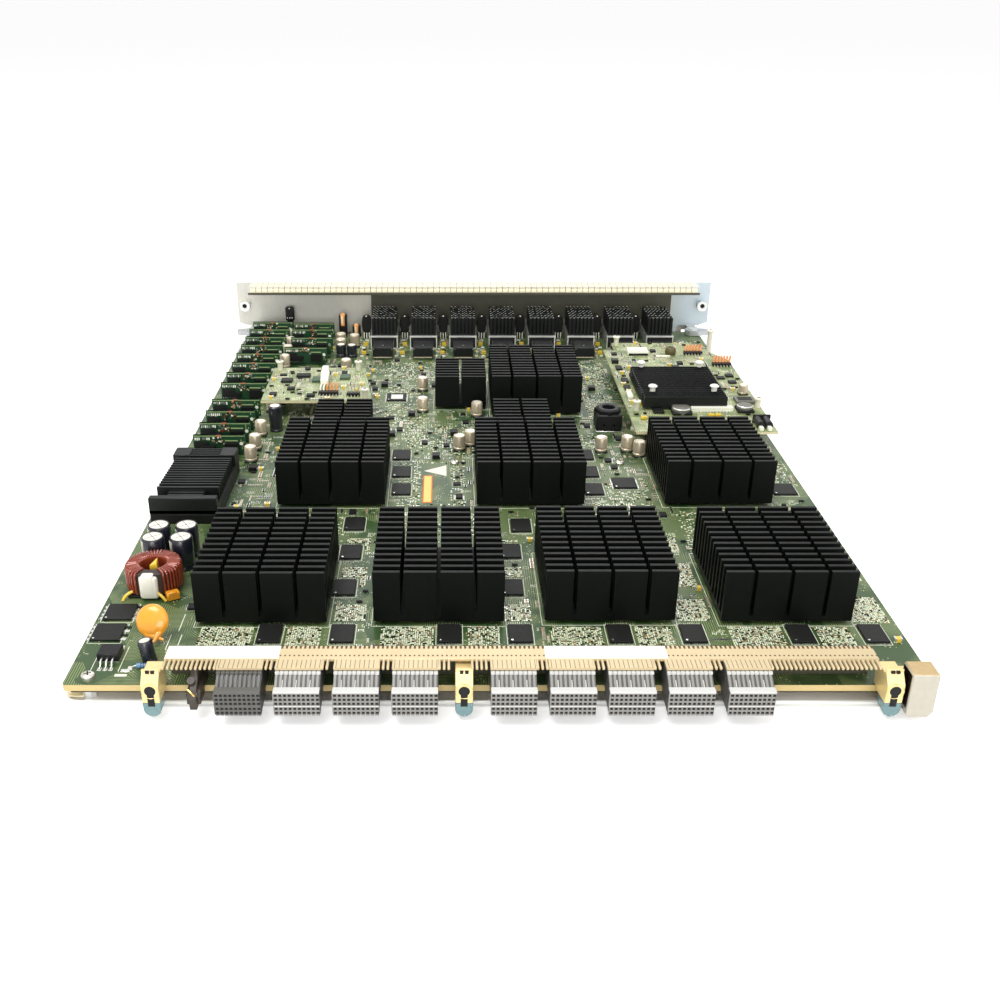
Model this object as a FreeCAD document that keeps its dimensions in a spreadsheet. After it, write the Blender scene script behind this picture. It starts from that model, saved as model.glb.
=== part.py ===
"""Switch line card: a folded tray that carries a populated circuit board, a front panel with pluggable
module cages, fin heat sinks, and a row of backplane connectors along the rear edge.

X runs along the front panel, Y from the backplane connectors to the front panel, Z up.
Places are given on the card: x from its centre line, y from the board's rear edge, z from the board's top.
place() moves them to the model's frame, whose origin is the middle of the tray's underside.
"""
import FreeCAD, Part
import math
import os
import re

import Sketcher

# ------------------------------------------------------------------ driving sizes, in millimetres
SIZES = {
    # tray, board and front panel; a size in quotes follows from those before it
    "panel_width": 399.0, "board_length": 511.0,
    "tray_sheet": 1.2, "tray_width": "panel_width - 12", "tray_rear": -1.5, "tray_corner": 9.0,
    "tray_shoulder_width": "panel_width - 3", "tray_shoulder_start": "board_length - 43",
    "tray_shoulder_run": 8.0, "flange_inset": 1.0,
    "board_width": "tray_width - 4.6", "board_thickness": 3.2, "board_gap": 5.8,
    "board_corner": 2.0, "board_clearance": 0.3,
    "standoff_radius": 3.2, "screw_radius": 1.25, "screw_hole": 1.7, "screw_head": 2.9, "screw_reach": 7.0,
    "screw_head_height": 2.0, "washer_radius": 4.4, "washer_height": 0.8, "screw_play": 0.1,
    "panel_inner": "board_length + 3", "panel_sheet": 2.0, "panel_top": 41.8,
    "panel_flange": 15.0, "panel_flange_half": "panel_width / 2 - 12",
    "panel_lip": 6.5, "panel_lip_sheet": 1.5,
    "notch_inner": "panel_width / 2 - 25.5", "notch_top": 4.9,
    "notch_shoulder": "panel_width / 2 - 7.5", "notch_end": 7.5,
    "gasket_sheet": 0.5, "gasket_half": "panel_flange_half - 2.25", "gasket_inset": 1.0,
    # pluggable module cages and what stands round them
    "port_count": 8, "port_pitch": "(panel_width - 15) / 12", "port_first": "-2.296875 * port_pitch",
    "cage_width": 22.0, "cage_depth": 49.0, "cage_height": 10.8, "cage_wall": 0.8,
    "cage_window_width": 14.0, "cage_window_depth": 24.0, "port_margin": 0.3,
    "port_sink_width": 20.0, "port_sink_depth": 33.0, "port_sink_base": 3.0, "port_sink_height": 15.0,
    "port_sink_fin": 1.1, "port_sink_fins": 7, "port_sink_setback": 2.0,
    "phy_sink_width": 15.6, "phy_sink_depth": 20.0, "phy_sink_height": 8.0,
    "phy_sink_rear": "board_length - 74", "phy_chip_height": 1.6, "phy_sink_fins": 5, "phy_overhang": 1.5,
    "lamp_width": "port_pitch - cage_width - 2.4", "lamp_height": 13.0, "lamp_depth": 5.0, "lamp_rear": "board_length - 19",
    "lamp_lift": 6.5, "lamp_offset": "port_pitch / 2", "lamp_corner": "0.3 * lamp_width", "lamp_hole": 1.6,
    "lamp_pin": 0.7, "lamp_pin_pitch": "0.26 * lamp_width",
    # packages on the board
    "memory_width": 11.0, "memory_depth": 15.0, "memory_height": 1.2, "other_width": 14.0,
    # large fin heat sinks
    "sink_width": 62.0, "sink_depth": 69.0, "sink_height": 26.6, "sink_base": 3.0, "sink_fin": 1.9,
    "sink_fins": 13, "sink_cut": 1.9, "sink_cut_pitch": 17.2, "sink_cut_floor": 2.6,
    "sink_cuts": 3, "chip_height": 2.2, "chip_width": 42.5,
    "small_sink_width": 35.6, "small_sink_depth": 40.0, "small_sink_height": 22.2, "small_sink_fins": 8,
    "small_sink_fin": 1.7, "small_chip_width": 27.0, "sink_gap": 3.6,
    # backplane connectors, their stiffener and the guides
    "module_width": 19.6, "module_columns": 10, "column_pitch": 2.0,
    "module_rear": 8.2, "module_height": 12.3, "module_step": -6.8, "face_y": -16.5, "face_top": 8.2,
    "face_bottom": -3.6, "face_depth": 6.5, "seam_width": 0.6, "seam_depth": 0.4,
    "rib_gap": 0.8, "rib_depth": 1.1, "tray_gap": 0.6,
    "comb_sheet": 1.4, "comb_end_gap": 0.4, "comb_front": -7.0,
    "slot_width": 1.0, "slot_margin": 1.4, "slot_reach": 6.8, "comb_clearance": 0.2,
    "guide_width": 7.6, "guide_ledge": 1.2, "guide_ledge_drop": 1.6, "guide_seat": 2.0, "guide_neck": 1.0,
    "guide_top": 13.7, "guide_face": -12.0,
    "guide_face_top": 8.4, "guide_bore": 2.4, "guide_bore_z": 5.2, "guide_bore_depth": 9.0,
    "guide_slot": 2.4, "guide_slot_low": -0.6, "guide_foot_z": -4.4, "guide_foot_depth": 7.0,
    "end_block_width": 11.7, "end_block_front": -13.0, "end_block_rear": -0.6, "end_block_top": 14.2,
    "end_block_bottom": -7.6, "end_block_foot": 6.0, "end_block_corner": 1.6, "end_block_offset": 11.6,
    "key_width": 3.2, "key_ear_width": 6.0, "key_rear": 6.0, "key_top": 11.0, "key_reach": -13.0,
    "key_drop": 4.0, "key_offset": 17.9,
    # power conversion
    "power_width": 38.0, "power_length": 72.0, "power_case": 6.2,
    "power_sink_height": 9.8, "power_sink_base": 2.4, "power_fin": 1.4, "power_fins": 15,
    "power_end": 5.0,
    "can_radius": 6.2, "can_height": 18.0, "can_edge": 1.0,
    "choke_radius": 14.6, "choke_hole": 6.0, "choke_height": 13.5, "choke_round": 4.0,
    "choke_lift": 1.5, "choke_base_half": 11.7, "choke_base_height": 2.0,
    "varistor_radius": 8.6, "varistor_thickness": 5.6, "varistor_round": 2.4, "varistor_lift": 1.5,
    "regulator_width": 33.0, "regulator_height": 12.4, "regulator_board": 1.6, "regulator_lift": 1.6,
    "card_choke_width": 9.0, "card_choke_depth": 4.2, "card_choke_height": 7.0, "card_part_width": 6.0,
    "card_part_depth": 1.8, "card_part_height": 5.0, "card_part_lift": 2.6, "card_pin_depth": 0.7,
    "small_can_radius": 4.0, "small_can_height": 10.2, "dark_can_radius": 4.6,
    "varistor_pitch": 5.4, "transistor_width": 10.0, "transistor_depth": 9.0, "transistor_height": 4.4,
    "tab_depth": 3.0, "tab_thickness": 1.3, "lead_width": 1.0, "lead_thickness": 0.7, "lead_rise": 2.0,
    "lead_reach": 6.0, "lead_pitch": 2.54,
    "cased_width": 17.2, "cased_corner": 1.6, "cased_height": 15.0,
    "cased_well": 4.4, "cased_well_depth": 9.0,
    # mezzanines
    "mezzanine_lift": 12.4, "mezzanine_board": 1.6, "post_radius": 1.9, "post_head": 3.1, "post_rise": 5.6,
    "post_hole": 2.2, "post_head_height": 1.8,
    "mezzanine_sink_width": 56.0, "mezzanine_sink_depth": 64.0, "mezzanine_sink_height": 7.4,
    "mezzanine_sink_fins": 14, "mezzanine_sink_fin": 1.4, "mezzanine_chip": 2.0,
    "mezzanine_chip_width": 35.0,
    # ejector levers and captive screws
    "lever_x": "panel_width / 2 - 13.5", "lever_y": "board_length - 7.5", "lever_thickness": 3.8,
    "lever_gap": 0.4, "lever_hub": 6.5,
    "lever_pin": 2.5, "lever_play": 0.3, "lever_claw": 13.4, "lever_claw_half": 4.2, "lever_arm_half": 3.6,
    "lever_handle": 62.0, "lever_handle_depth": 7.5, "lever_handle_half": 6.0, "lever_handle_start": 7.5,
    "lever_corner": 1.0, "lever_handle_bevel": 3.0, "lever_stop": 0.4,
    "rivet_head": 4.2, "rivet_height": 1.2,
    "screw_x": "panel_width / 2 - 6.5", "screw_z": 23.0, "captive_radius": 1.9, "captive_play": 0.3,
    "boss_radius": 4.4,
    "boss_length": 5.0, "sleeve_length": 3.0, "knob_radius": 5.0, "knob_length": 8.0, "captive_travel": 5.0,
    "captive_tip": 1.0,
}

doc = FreeCAD.newDocument("switch_line_card")
sheet = doc.addObject("Spreadsheet::Sheet", "sizes")
PLANES = {"XY": 1, "XZ": -1, "YZ": 1}
pockets = []


def add_size(name, value):
    """Write one named size into the sheet."""
    row = len(sheet.getUsedCells()) // 2 + 1
    sheet.set(f"A{row}", name)
    sheet.set(f"B{row}", f"={value}" if isinstance(value, str) else str(value))
    sheet.setAlias(f"B{row}", name)
    SIZES[name] = value


for size_name, size_value in list(SIZES.items()):
    add_size(size_name, size_value)
doc.recompute()


def dim(formula):
    """Turn a formula of size names into an expression that reads the sheet."""
    return re.sub(r"[a-z][a-z_0-9]*", lambda word: "sizes." + word.group() if word.group() in SIZES
                  else word.group(), str(formula))


def bind(thing, **formulas):
    for prop, formula in formulas.items():
        thing.setExpression(prop, dim(formula))


DRAWN = (382.4, 511.0)  # the board's width and length that the tables' places are given for
BOARD_TOP = "(tray_sheet + board_gap + board_thickness)"
FRAME_MIDDLE = "((tray_rear + panel_inner) / 2)"


def place(thing, x="0", y="0", z="0"):
    """Put a piece's local origin at a place on the card."""
    thing.setExpression("Placement.Base.x", dim(x))
    thing.setExpression("Placement.Base.y", dim(f"{y} - {FRAME_MIDDLE}"))
    thing.setExpression("Placement.Base.z", dim(f"{z} + {BOARD_TOP}"))
    return thing


# ------------------------------------------------------------------ modelling helpers
def new_body(label):
    body = doc.addObject("PartDesign::Body", label)
    body.Label = label
    return body


def sketch_on(body, plane, offset="0"):
    sketch = body.newObject("Sketcher::SketchObject", "outline")
    origin = [item for item in body.Origin.OriginFeatures if item.Role == plane + "_Plane"][0]
    sketch.AttachmentSupport = [(origin, "")]
    sketch.MapMode = "FlatFace"
    sketch.setExpression("AttachmentOffset.Base.z", dim(f"{PLANES[plane]} * ({offset})"))
    return sketch


def pin_point(sketch, index, point, x, y):
    """Hold a sketch point at formulas for its two coordinates."""
    for kind, formula in (("DistanceX", x), ("DistanceY", y)):
        number = sketch.addConstraint(Sketcher.Constraint(kind, -1, 1, index, point, 1.0))
        sketch.setExpression(f"Constraints[{number}]", dim(formula))


def polygon(sketch, points):
    """A closed outline through points given as pairs of formulas."""
    first = sketch.GeometryCount
    count = len(points)
    ring = [FreeCAD.Vector(math.cos(math.tau * turn / count), math.sin(math.tau * turn / count), 0)
            for turn in range(count)]
    for turn in range(count):
        sketch.addGeometry(Part.LineSegment(ring[turn], ring[(turn + 1) % count]))
    for turn in range(count):
        after = first + (turn + 1) % count
        sketch.addConstraint(Sketcher.Constraint("Coincident", first + turn, 2, after, 1))
    for turn, (x, y) in enumerate(points):
        pin_point(sketch, first + turn, 1, x, y)
    return sketch


def rectangle(sketch, x_low, x_high, y_low, y_high):
    return polygon(sketch, [(x_low, y_low), (x_high, y_low), (x_high, y_high), (x_low, y_high)])


def circle(sketch, x, y, radius):
    index = sketch.addGeometry(Part.Circle(FreeCAD.Vector(0, 0, 0), FreeCAD.Vector(0, 0, 1), 1.0))
    pin_point(sketch, index, 3, x, y)
    number = sketch.addConstraint(Sketcher.Constraint("Radius", index, 1.0))
    sketch.setExpression(f"Constraints[{number}]", dim(radius))
    return sketch


def ring(sketch, x, y, radius, sides=12):
    """A round outline drawn as a regular polygon, which keeps small turned parts light."""
    turns = [math.tau * (side + 0.5) / sides for side in range(sides)]
    return polygon(sketch, [(f"{x} + ({radius}) * {math.cos(turn):.6f}",
                             f"{y} + ({radius}) * {math.sin(turn):.6f}") for turn in turns])


def octagon(sketch, x_low, x_high, y_low, y_high, corner):
    """A rectangle with its corners cut off."""
    return polygon(sketch, [
        (f"{x_low} + {corner}", y_low), (f"{x_high} - {corner}", y_low), (x_high, f"{y_low} + {corner}"),
        (x_high, f"{y_high} - {corner}"), (f"{x_high} - {corner}", y_high), (f"{x_low} + {corner}", y_high),
        (x_low, f"{y_high} - {corner}"), (x_low, f"{y_low} + {corner}")])


def add(body, sketch, length):
    """Pad a sketch towards the plus side of its plane."""
    feature = body.newObject("PartDesign::Pad", "pad")
    feature.Profile = sketch
    feature.Reversed = "XZ" in sketch.AttachmentSupport[0][0].Role
    bind(feature, Length=length)
    body.Tip = feature
    return feature


def cut(body, sketch, length):
    """Pocket a sketch towards the plus side of its plane."""
    feature = body.newObject("PartDesign::Pocket", "pocket")
    feature.Profile = sketch
    feature.Reversed = "XZ" not in sketch.AttachmentSupport[0][0].Role
    bind(feature, Length=length)
    body.Tip = feature
    pockets.append(feature)
    return feature


def repeat(body, feature, sketch, axis, pitch, count):
    """Repeat a feature along a sketch axis."""
    pattern = body.newObject("PartDesign::LinearPattern", "pattern")
    pattern.Originals = [feature]
    pattern.Direction = (sketch, [axis])
    bind(pattern, Length=f"({pitch}) * ({count} - 1)", Occurrences=count)
    body.Tip = pattern
    return pattern


def stack(body, tiers, sides=12):
    """Pile up round tiers about the body's own Z axis, each given as underside, height and radius."""
    for underside, height, radius in tiers:
        add(body, ring(sketch_on(body, "XY", underside), "0", "0", radius, sides), height)


def box(name, width, depth, height, x, y, z):
    """A block whose place is the middle of its width, its rear and its underside."""
    block = doc.addObject("Part::Box", name)
    bind(block, Length=width, Width=depth, Height=height)
    return place(block, f"{x} - ({width}) / 2", y, z)


def fuse(label, pieces):
    whole = doc.addObject("Part::MultiFuse", label)
    whole.Label = label
    whole.Shapes = pieces
    whole.Refine = True
    return whole


def group(label, pieces):
    whole = doc.addObject("Part::Compound", label)
    whole.Label = label
    whole.Links = pieces
    return whole


def table(kind, rows):
    """Write the places of like pieces into the sheet as shares of the board, and return their names."""
    names = []
    for number, row in enumerate(rows, 1):
        columns = []
        for axis, value, side, whole in zip(("across", "along"), row, ("board_width", "board_length"), DRAWN):
            add_size(f"{kind}_{number}_{axis}", f"{value / whole:.10f} * {side}")
            columns.append(f"{kind}_{number}_{axis}")
        names.append(columns)
    doc.recompute()
    return names


# ------------------------------------------------------------------ tray and board
SCREWS = table("screw", [(-181.0, 5.0), (-56.5, 27.5), (107.0, 26.0), (-17.8, 236.5), (86.0, 236.0),
                         (-90.0, 500.0), (171.0, 480.0)])


def make_tray():
    """A flat sheet with rounded rear corners, a flange up the panel, standoffs and two lever rivets."""
    body = new_body("base_tray")
    floor = polygon(sketch_on(body, "XY"), [
        ("-tray_width / 2", "tray_rear + tray_corner"),
        ("-tray_width / 2 + 0.3 * tray_corner", "tray_rear + 0.3 * tray_corner"),
        ("-tray_width / 2 + tray_corner", "tray_rear"), ("tray_width / 2 - tray_corner", "tray_rear"),
        ("tray_width / 2 - 0.3 * tray_corner", "tray_rear + 0.3 * tray_corner"),
        ("tray_width / 2", "tray_rear + tray_corner"),
        ("tray_width / 2", "tray_shoulder_start"),
        ("tray_shoulder_width / 2", "tray_shoulder_start + tray_shoulder_run"),
        ("tray_shoulder_width / 2", "panel_inner"), ("-tray_shoulder_width / 2", "panel_inner"),
        ("-tray_shoulder_width / 2", "tray_shoulder_start + tray_shoulder_run"),
        ("-tray_width / 2", "tray_shoulder_start")])
    add(body, floor, "tray_sheet")
    flange = rectangle(sketch_on(body, "XZ", "panel_inner - tray_sheet"), "-notch_inner + flange_inset",
                       "notch_inner - flange_inset", "0", "tray_sheet + board_gap - board_clearance")
    add(body, flange, "tray_sheet")
    posts = sketch_on(body, "XY", "tray_sheet / 2")
    for x, y in SCREWS:
        ring(posts, x, y, "standoff_radius", 8)
    add(body, posts, "tray_sheet / 2 + board_gap")
    holes = sketch_on(body, "XY", "tray_sheet")
    for x, y in SCREWS:
        ring(holes, x, y, "screw_radius + screw_play", 8)
    cut(body, holes, "board_gap")
    rivets = sketch_on(body, "XY", "tray_sheet / 2")
    heads = sketch_on(body, "XY", f"{BOARD_TOP} + lever_thickness + 2 * lever_gap")
    for side in ("-lever_x", "lever_x"):
        ring(rivets, side, "lever_y", "lever_pin")
        ring(heads, side, "lever_y", "rivet_head")
    add(body, rivets, f"{BOARD_TOP} - tray_sheet / 2 + lever_thickness + 2 * lever_gap")
    add(body, heads, "rivet_height")
    return place(body, z=f"-{BOARD_TOP}")


def make_board():
    body = new_body("main_board")
    outline = octagon(sketch_on(body, "XY"), "-board_width / 2", "board_width / 2", "0", "board_length",
                      "board_corner / 2")
    add(body, outline, "board_thickness")
    holes = sketch_on(body, "XY")
    for x, y in SCREWS:
        ring(holes, x, y, "screw_hole", 8)
    for side in ("-lever_x", "lever_x"):
        ring(holes, side, "lever_y", "lever_pin + board_clearance")
    cut(body, holes, "board_thickness")
    return place(body, z="-board_thickness")


def make_screws():
    """Pan head screws, the first with a wide washer, as separate solids of one node."""
    pieces = []
    for number, (x, y) in enumerate(SCREWS):
        body = new_body(f"screw_{number + 1}_turned")
        washer = [("0", "washer_height", "washer_radius")] if number == 0 else []
        rise = "washer_height" if washer else "0"
        stack(body, [("-screw_reach", "screw_reach", "screw_radius")] + washer, 8)
        stack(body, [(rise, "screw_head_height", "screw_head")])
        pieces.append(place(body, x, y))
    return group("board_screws", pieces)


# ------------------------------------------------------------------ front panel
def port_x(number):
    return f"(port_first + {number} * port_pitch)"


def make_panel():
    """A faceplate with a flange and lip along its top, notched low at both ends for the levers."""
    body = new_body("front_panel")
    low = f"-{BOARD_TOP}"
    half = [("notch_inner", low), ("notch_inner", "notch_top"), ("notch_shoulder", "notch_top"),
            ("panel_width / 2", "notch_end"), ("panel_width / 2", "panel_top")]
    mirrored = [(f"-({x})", z) for x, z in reversed(half)]
    add(body, polygon(sketch_on(body, "XZ", "panel_inner"), half + mirrored), "panel_sheet")
    flange = polygon(sketch_on(body, "YZ", "-panel_flange_half"), [
        ("panel_inner", "panel_top"), ("panel_inner - panel_flange", "panel_top"),
        ("panel_inner - panel_flange", "panel_top - panel_lip"),
        ("panel_inner - panel_flange + panel_lip_sheet", "panel_top - panel_lip"),
        ("panel_inner - panel_flange + panel_lip_sheet", "panel_top - panel_lip_sheet"),
        ("panel_inner", "panel_top - panel_lip_sheet")])
    add(body, flange, "2 * panel_flange_half")
    bosses = sketch_on(body, "XZ", "panel_inner - boss_length")
    sleeves = sketch_on(body, "XZ", "panel_inner + panel_sheet")
    holes = sketch_on(body, "XZ", "panel_inner - boss_length")
    for side in ("-screw_x", "screw_x"):
        ring(bosses, side, "screw_z", "boss_radius")
        ring(sleeves, side, "screw_z", "boss_radius")
        ring(holes, side, "screw_z", "captive_radius + captive_play")
    add(body, bosses, "boss_length")
    add(body, sleeves, "sleeve_length")
    cut(body, holes, "boss_length + panel_sheet + sleeve_length")
    windows = rectangle(sketch_on(body, "XZ", "panel_inner"),
                        f"{port_x(0)} - cage_width / 2 + cage_wall - port_margin",
                        f"{port_x(0)} + cage_width / 2 - cage_wall + port_margin",
                        "cage_wall - port_margin", "cage_height - cage_wall + port_margin")
    repeat(body, cut(body, windows, "panel_sheet"), windows, "H_Axis", "port_pitch", "port_count")
    lamps = ring(sketch_on(body, "XZ", "panel_inner"), f"{port_x(0)} - lamp_offset",
                 "lamp_lift + lamp_height / 2", "lamp_hole", 8)
    repeat(body, cut(body, lamps, "panel_sheet"), lamps, "H_Axis", "port_pitch", "port_count")
    return place(body)


def make_gasket():
    """The contact strip that hugs the panel's top flange."""
    body = new_body("contact_gasket")
    rear = "panel_inner - panel_flange"
    profile = polygon(sketch_on(body, "YZ", "-gasket_half"), [
        ("panel_inner - gasket_inset", "panel_top"),
        ("panel_inner - gasket_inset", "panel_top + gasket_sheet"),
        (f"{rear} - gasket_sheet", "panel_top + gasket_sheet"),
        (f"{rear} - gasket_sheet", "panel_top - panel_lip + gasket_sheet"),
        (rear, "panel_top - panel_lip + gasket_sheet"), (rear, "panel_top")])
    add(body, profile, "2 * gasket_half")
    return place(body)


# ------------------------------------------------------------------ module cages
def make_cage(number):
    """A sheet metal cage, open at the panel, with a window in its roof for the heat sink's foot."""
    body = new_body(f"port_cage_{number + 1}")
    shell = rectangle(sketch_on(body, "XZ"), "-cage_width / 2", "cage_width / 2", "0", "cage_height")
    add(body, shell, "cage_depth")
    inside = rectangle(sketch_on(body, "XZ", "cage_wall"), "-cage_width / 2 + cage_wall",
                       "cage_width / 2 - cage_wall", "cage_wall", "cage_height - cage_wall")
    cut(body, inside, "cage_depth")
    window = rectangle(sketch_on(body, "XY", "cage_height - cage_wall"), "-cage_window_width / 2",
                       "cage_window_width / 2", "port_sink_setback + (port_sink_depth - cage_window_depth) / 2",
                       "port_sink_setback + (port_sink_depth + cage_window_depth) / 2")
    cut(body, window, "cage_wall")
    return place(body, port_x(number), "panel_inner - cage_depth", "0")


def make_port_sinks():
    """Heat sinks of plain fins, each with a foot that reaches through its cage's window."""
    sinks = []
    for number in range(SIZES["port_count"]):
        body = new_body(f"port_sink_{number + 1}")
        base = rectangle(sketch_on(body, "XY", "0"), "-port_sink_width / 2", "port_sink_width / 2", "0",
                         "port_sink_depth")
        add(body, base, "port_sink_base")
        foot = rectangle(sketch_on(body, "XY", "-cage_wall"), "-cage_window_width / 2 + port_margin",
                         "cage_window_width / 2 - port_margin",
                         "(port_sink_depth - cage_window_depth) / 2 + port_margin",
                         "(port_sink_depth + cage_window_depth) / 2 - port_margin")
        add(body, foot, "cage_wall")
        fin = rectangle(sketch_on(body, "XY", "port_sink_base"), "-port_sink_width / 2",
                        "-port_sink_width / 2 + port_sink_fin", "0", "port_sink_depth")
        repeat(body, add(body, fin, "port_sink_height - port_sink_base"), fin, "H_Axis",
               "(port_sink_width - port_sink_fin) / (port_sink_fins - 1)", "port_sink_fins")
        sinks.append(place(body, port_x(number), "panel_inner - cage_depth + port_sink_setback",
                           "cage_height"))
    return group("port_heat_sinks", sinks)


def make_lamps():
    """Status lamp housings that stand between the cages on a row of three pins."""
    pieces = []
    for number in range(SIZES["port_count"]):
        x = f"({port_x(number)} - lamp_offset)"
        body = new_body(f"lamp_{number + 1}")
        outline = octagon(sketch_on(body, "XZ"), "-lamp_width / 2", "lamp_width / 2", "0", "lamp_height",
                          "lamp_corner")
        add(body, outline, "lamp_depth")
        pins = sketch_on(body, "XY", "-lamp_lift")
        rectangle(pins, "-lamp_pin / 2 - lamp_pin_pitch", "lamp_pin / 2 - lamp_pin_pitch", "lamp_depth / 2",
                  "lamp_depth / 2 + lamp_pin")
        feet = add(body, pins, "lamp_lift + lamp_height / 2")
        repeat(body, feet, pins, "H_Axis", "lamp_pin_pitch", "3")
        pieces.append(place(body, x, "lamp_rear", "lamp_lift"))
    return group("port_lamps", pieces)


# ------------------------------------------------------------------ fin heat sinks
def fin_sink(label, width, depth, height, base, fin, fins, x, y, z, cuts=None):
    """A block with its channels cut along X, and, where asked, cross cuts along Y."""
    body = new_body(label)
    block = rectangle(sketch_on(body, "XY"), f"-({width}) / 2", f"({width}) / 2", "0", depth)
    add(body, block, height)
    pitch = f"({depth} - {fin}) / ({fins} - 1)"
    channel = rectangle(sketch_on(body, "YZ", f"-({width}) / 2"), fin, pitch, base, height)
    repeat(body, cut(body, channel, width), channel, "H_Axis", pitch, f"{fins} - 1")
    if cuts:
        count, step, gap, floor = cuts
        start = f"-{step} * ({count} - 1) / 2"
        groove = rectangle(sketch_on(body, "XZ"), f"{start} - {gap} / 2", f"{start} + {gap} / 2", floor,
                           height)
        across = cut(body, groove, depth)
        if count != "1":
            repeat(body, across, groove, "H_Axis", step, count)
    return place(body, x, y, z)


NEAR_SINKS = table("near_sink", [(-111.0, 47.5), (-26.8, 48.3), (54.6, 49.3), (138.4, 48.6)])
MIDDLE_SINKS = table("middle_sink", [(-89.6, 174.0), (25.6, 174.0), (134.2, 175.0)])
FAR_SINKS = table("far_sink", [(39.4, 318.0)])
SMALL_SINKS = [(x, f"({y} + sink_depth + sink_gap)") for x, y in MIDDLE_SINKS[:2]]
SMALL_SINKS.append((f"({FAR_SINKS[0][0]} - (sink_width + small_sink_width) / 2 - sink_gap)",
                    f"({FAR_SINKS[0][1]} + sink_depth / 6)"))


def large_sink(label, x, y):
    return fin_sink(label, "sink_width", "sink_depth", "sink_height", "sink_base", "sink_fin",
                    "sink_fins", x, y, "chip_height",
                    ("sink_cuts", "sink_cut_pitch", "sink_cut", "sink_cut_floor"))


def make_sinks():
    sinks = []
    for kind, places in (("near", NEAR_SINKS), ("middle", MIDDLE_SINKS), ("far", FAR_SINKS)):
        for number, (x, y) in enumerate(places, 1):
            sinks.append(large_sink(f"{kind}_heat_sink_{number}", x, y))
    for number, (x, y) in enumerate(SMALL_SINKS, 1):
        sinks.append(fin_sink(f"small_heat_sink_{number}", "small_sink_width", "small_sink_depth",
                              "small_sink_height", "sink_base", "small_sink_fin", "small_sink_fins",
                              x, y, "chip_height", ("1", "0", "sink_cut", "sink_cut_floor")))
    return sinks


def make_phy_sinks():
    """A row of low sinks on transceiver chips, one behind each cage."""
    pieces = []
    for number in range(SIZES["port_count"]):
        sink = fin_sink(f"phy_sink_{number + 1}", "phy_sink_width", "phy_sink_depth", "phy_sink_height",
                        "phy_sink_height / 3", "port_sink_fin", "phy_sink_fins", port_x(number),
                        "phy_sink_rear", "phy_chip_height")
        pieces.append(sink)
    return group("phy_heat_sinks", pieces)


MEZZANINE_SINK, = table("mezzanine_sink", [(136.5, 292.0)])
CHIPS = table("memory_chip", [
    (-106.0, 32.5), (-72.0, 32.5), (-21.8, 32.5), (11.5, 32.5), (58.0, 32.5), (92.5, 32.5), (143.0, 32.5),
    (177.0, 32.5), (-74.5, 145.0), (-74.0, 112.0), (-74.4, 75.0), (18.4, 143.0), (10.9, 113.0), (9.8, 75.0),
    (-51.7, 241.0), (-50.8, 215.0), (-50.0, 190.0), (65.0, 241.0), (65.0, 215.0), (65.0, 190.0)])
OTHER_CHIPS = table("other_chip", [
    (-59.0, 345.0), (84.5, 199.0), (178.0, 190.0), (-181.0, 52.0), (-182.0, 34.0)])


def make_chips():
    """Packages soldered to the board: memories, controllers and the large ones under the sinks."""
    pieces = []
    for number, (x, y) in enumerate(CHIPS, 1):
        pieces.append(box(f"memory_{number}", "memory_width", "memory_depth", "memory_height", x, y, "0"))
    for number, (x, y) in enumerate(OTHER_CHIPS, 1):
        pieces.append(box(f"controller_{number}", "other_width", "other_width", "memory_height", x, y, "0"))
    for number, (x, y) in enumerate(NEAR_SINKS + MIDDLE_SINKS + FAR_SINKS, 1):
        pieces.append(box(f"switch_chip_{number}", "chip_width", "chip_width", "chip_height", x,
                          f"{y} + (sink_depth - chip_width) / 2", "0"))
    for number, (x, y) in enumerate(SMALL_SINKS, 1):
        pieces.append(box(f"small_chip_{number}", "small_chip_width", "small_chip_width", "chip_height", x,
                          f"{y} + (small_sink_depth - small_chip_width) / 2", "0"))
    for number in range(SIZES["port_count"]):
        pieces.append(box(f"phy_chip_{number + 1}", "phy_sink_width - 2 * phy_overhang",
                          "phy_sink_depth - 2 * phy_overhang", "phy_chip_height", port_x(number),
                          "phy_sink_rear + phy_overhang", "0"))
    pieces.append(box("mezzanine_package", "mezzanine_chip_width", "mezzanine_chip_width", "mezzanine_chip",
                      MEZZANINE_SINK[0],
                      f"{MEZZANINE_SINK[1]} + (mezzanine_sink_depth - mezzanine_chip_width) / 2",
                      "mezzanine_lift + mezzanine_board"))
    return group("chip_packages", pieces)


# ------------------------------------------------------------------ backplane connectors
MODULES = table("module", [
    (-111.5,), (-86.5,), (-61.5,), (-36.5,), (5.5,), (30.5,), (55.5,), (80.5,), (106.0,)])
GUIDES = table("guide", [(-149.2,), (-15.6,), (167.6,)])


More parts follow.
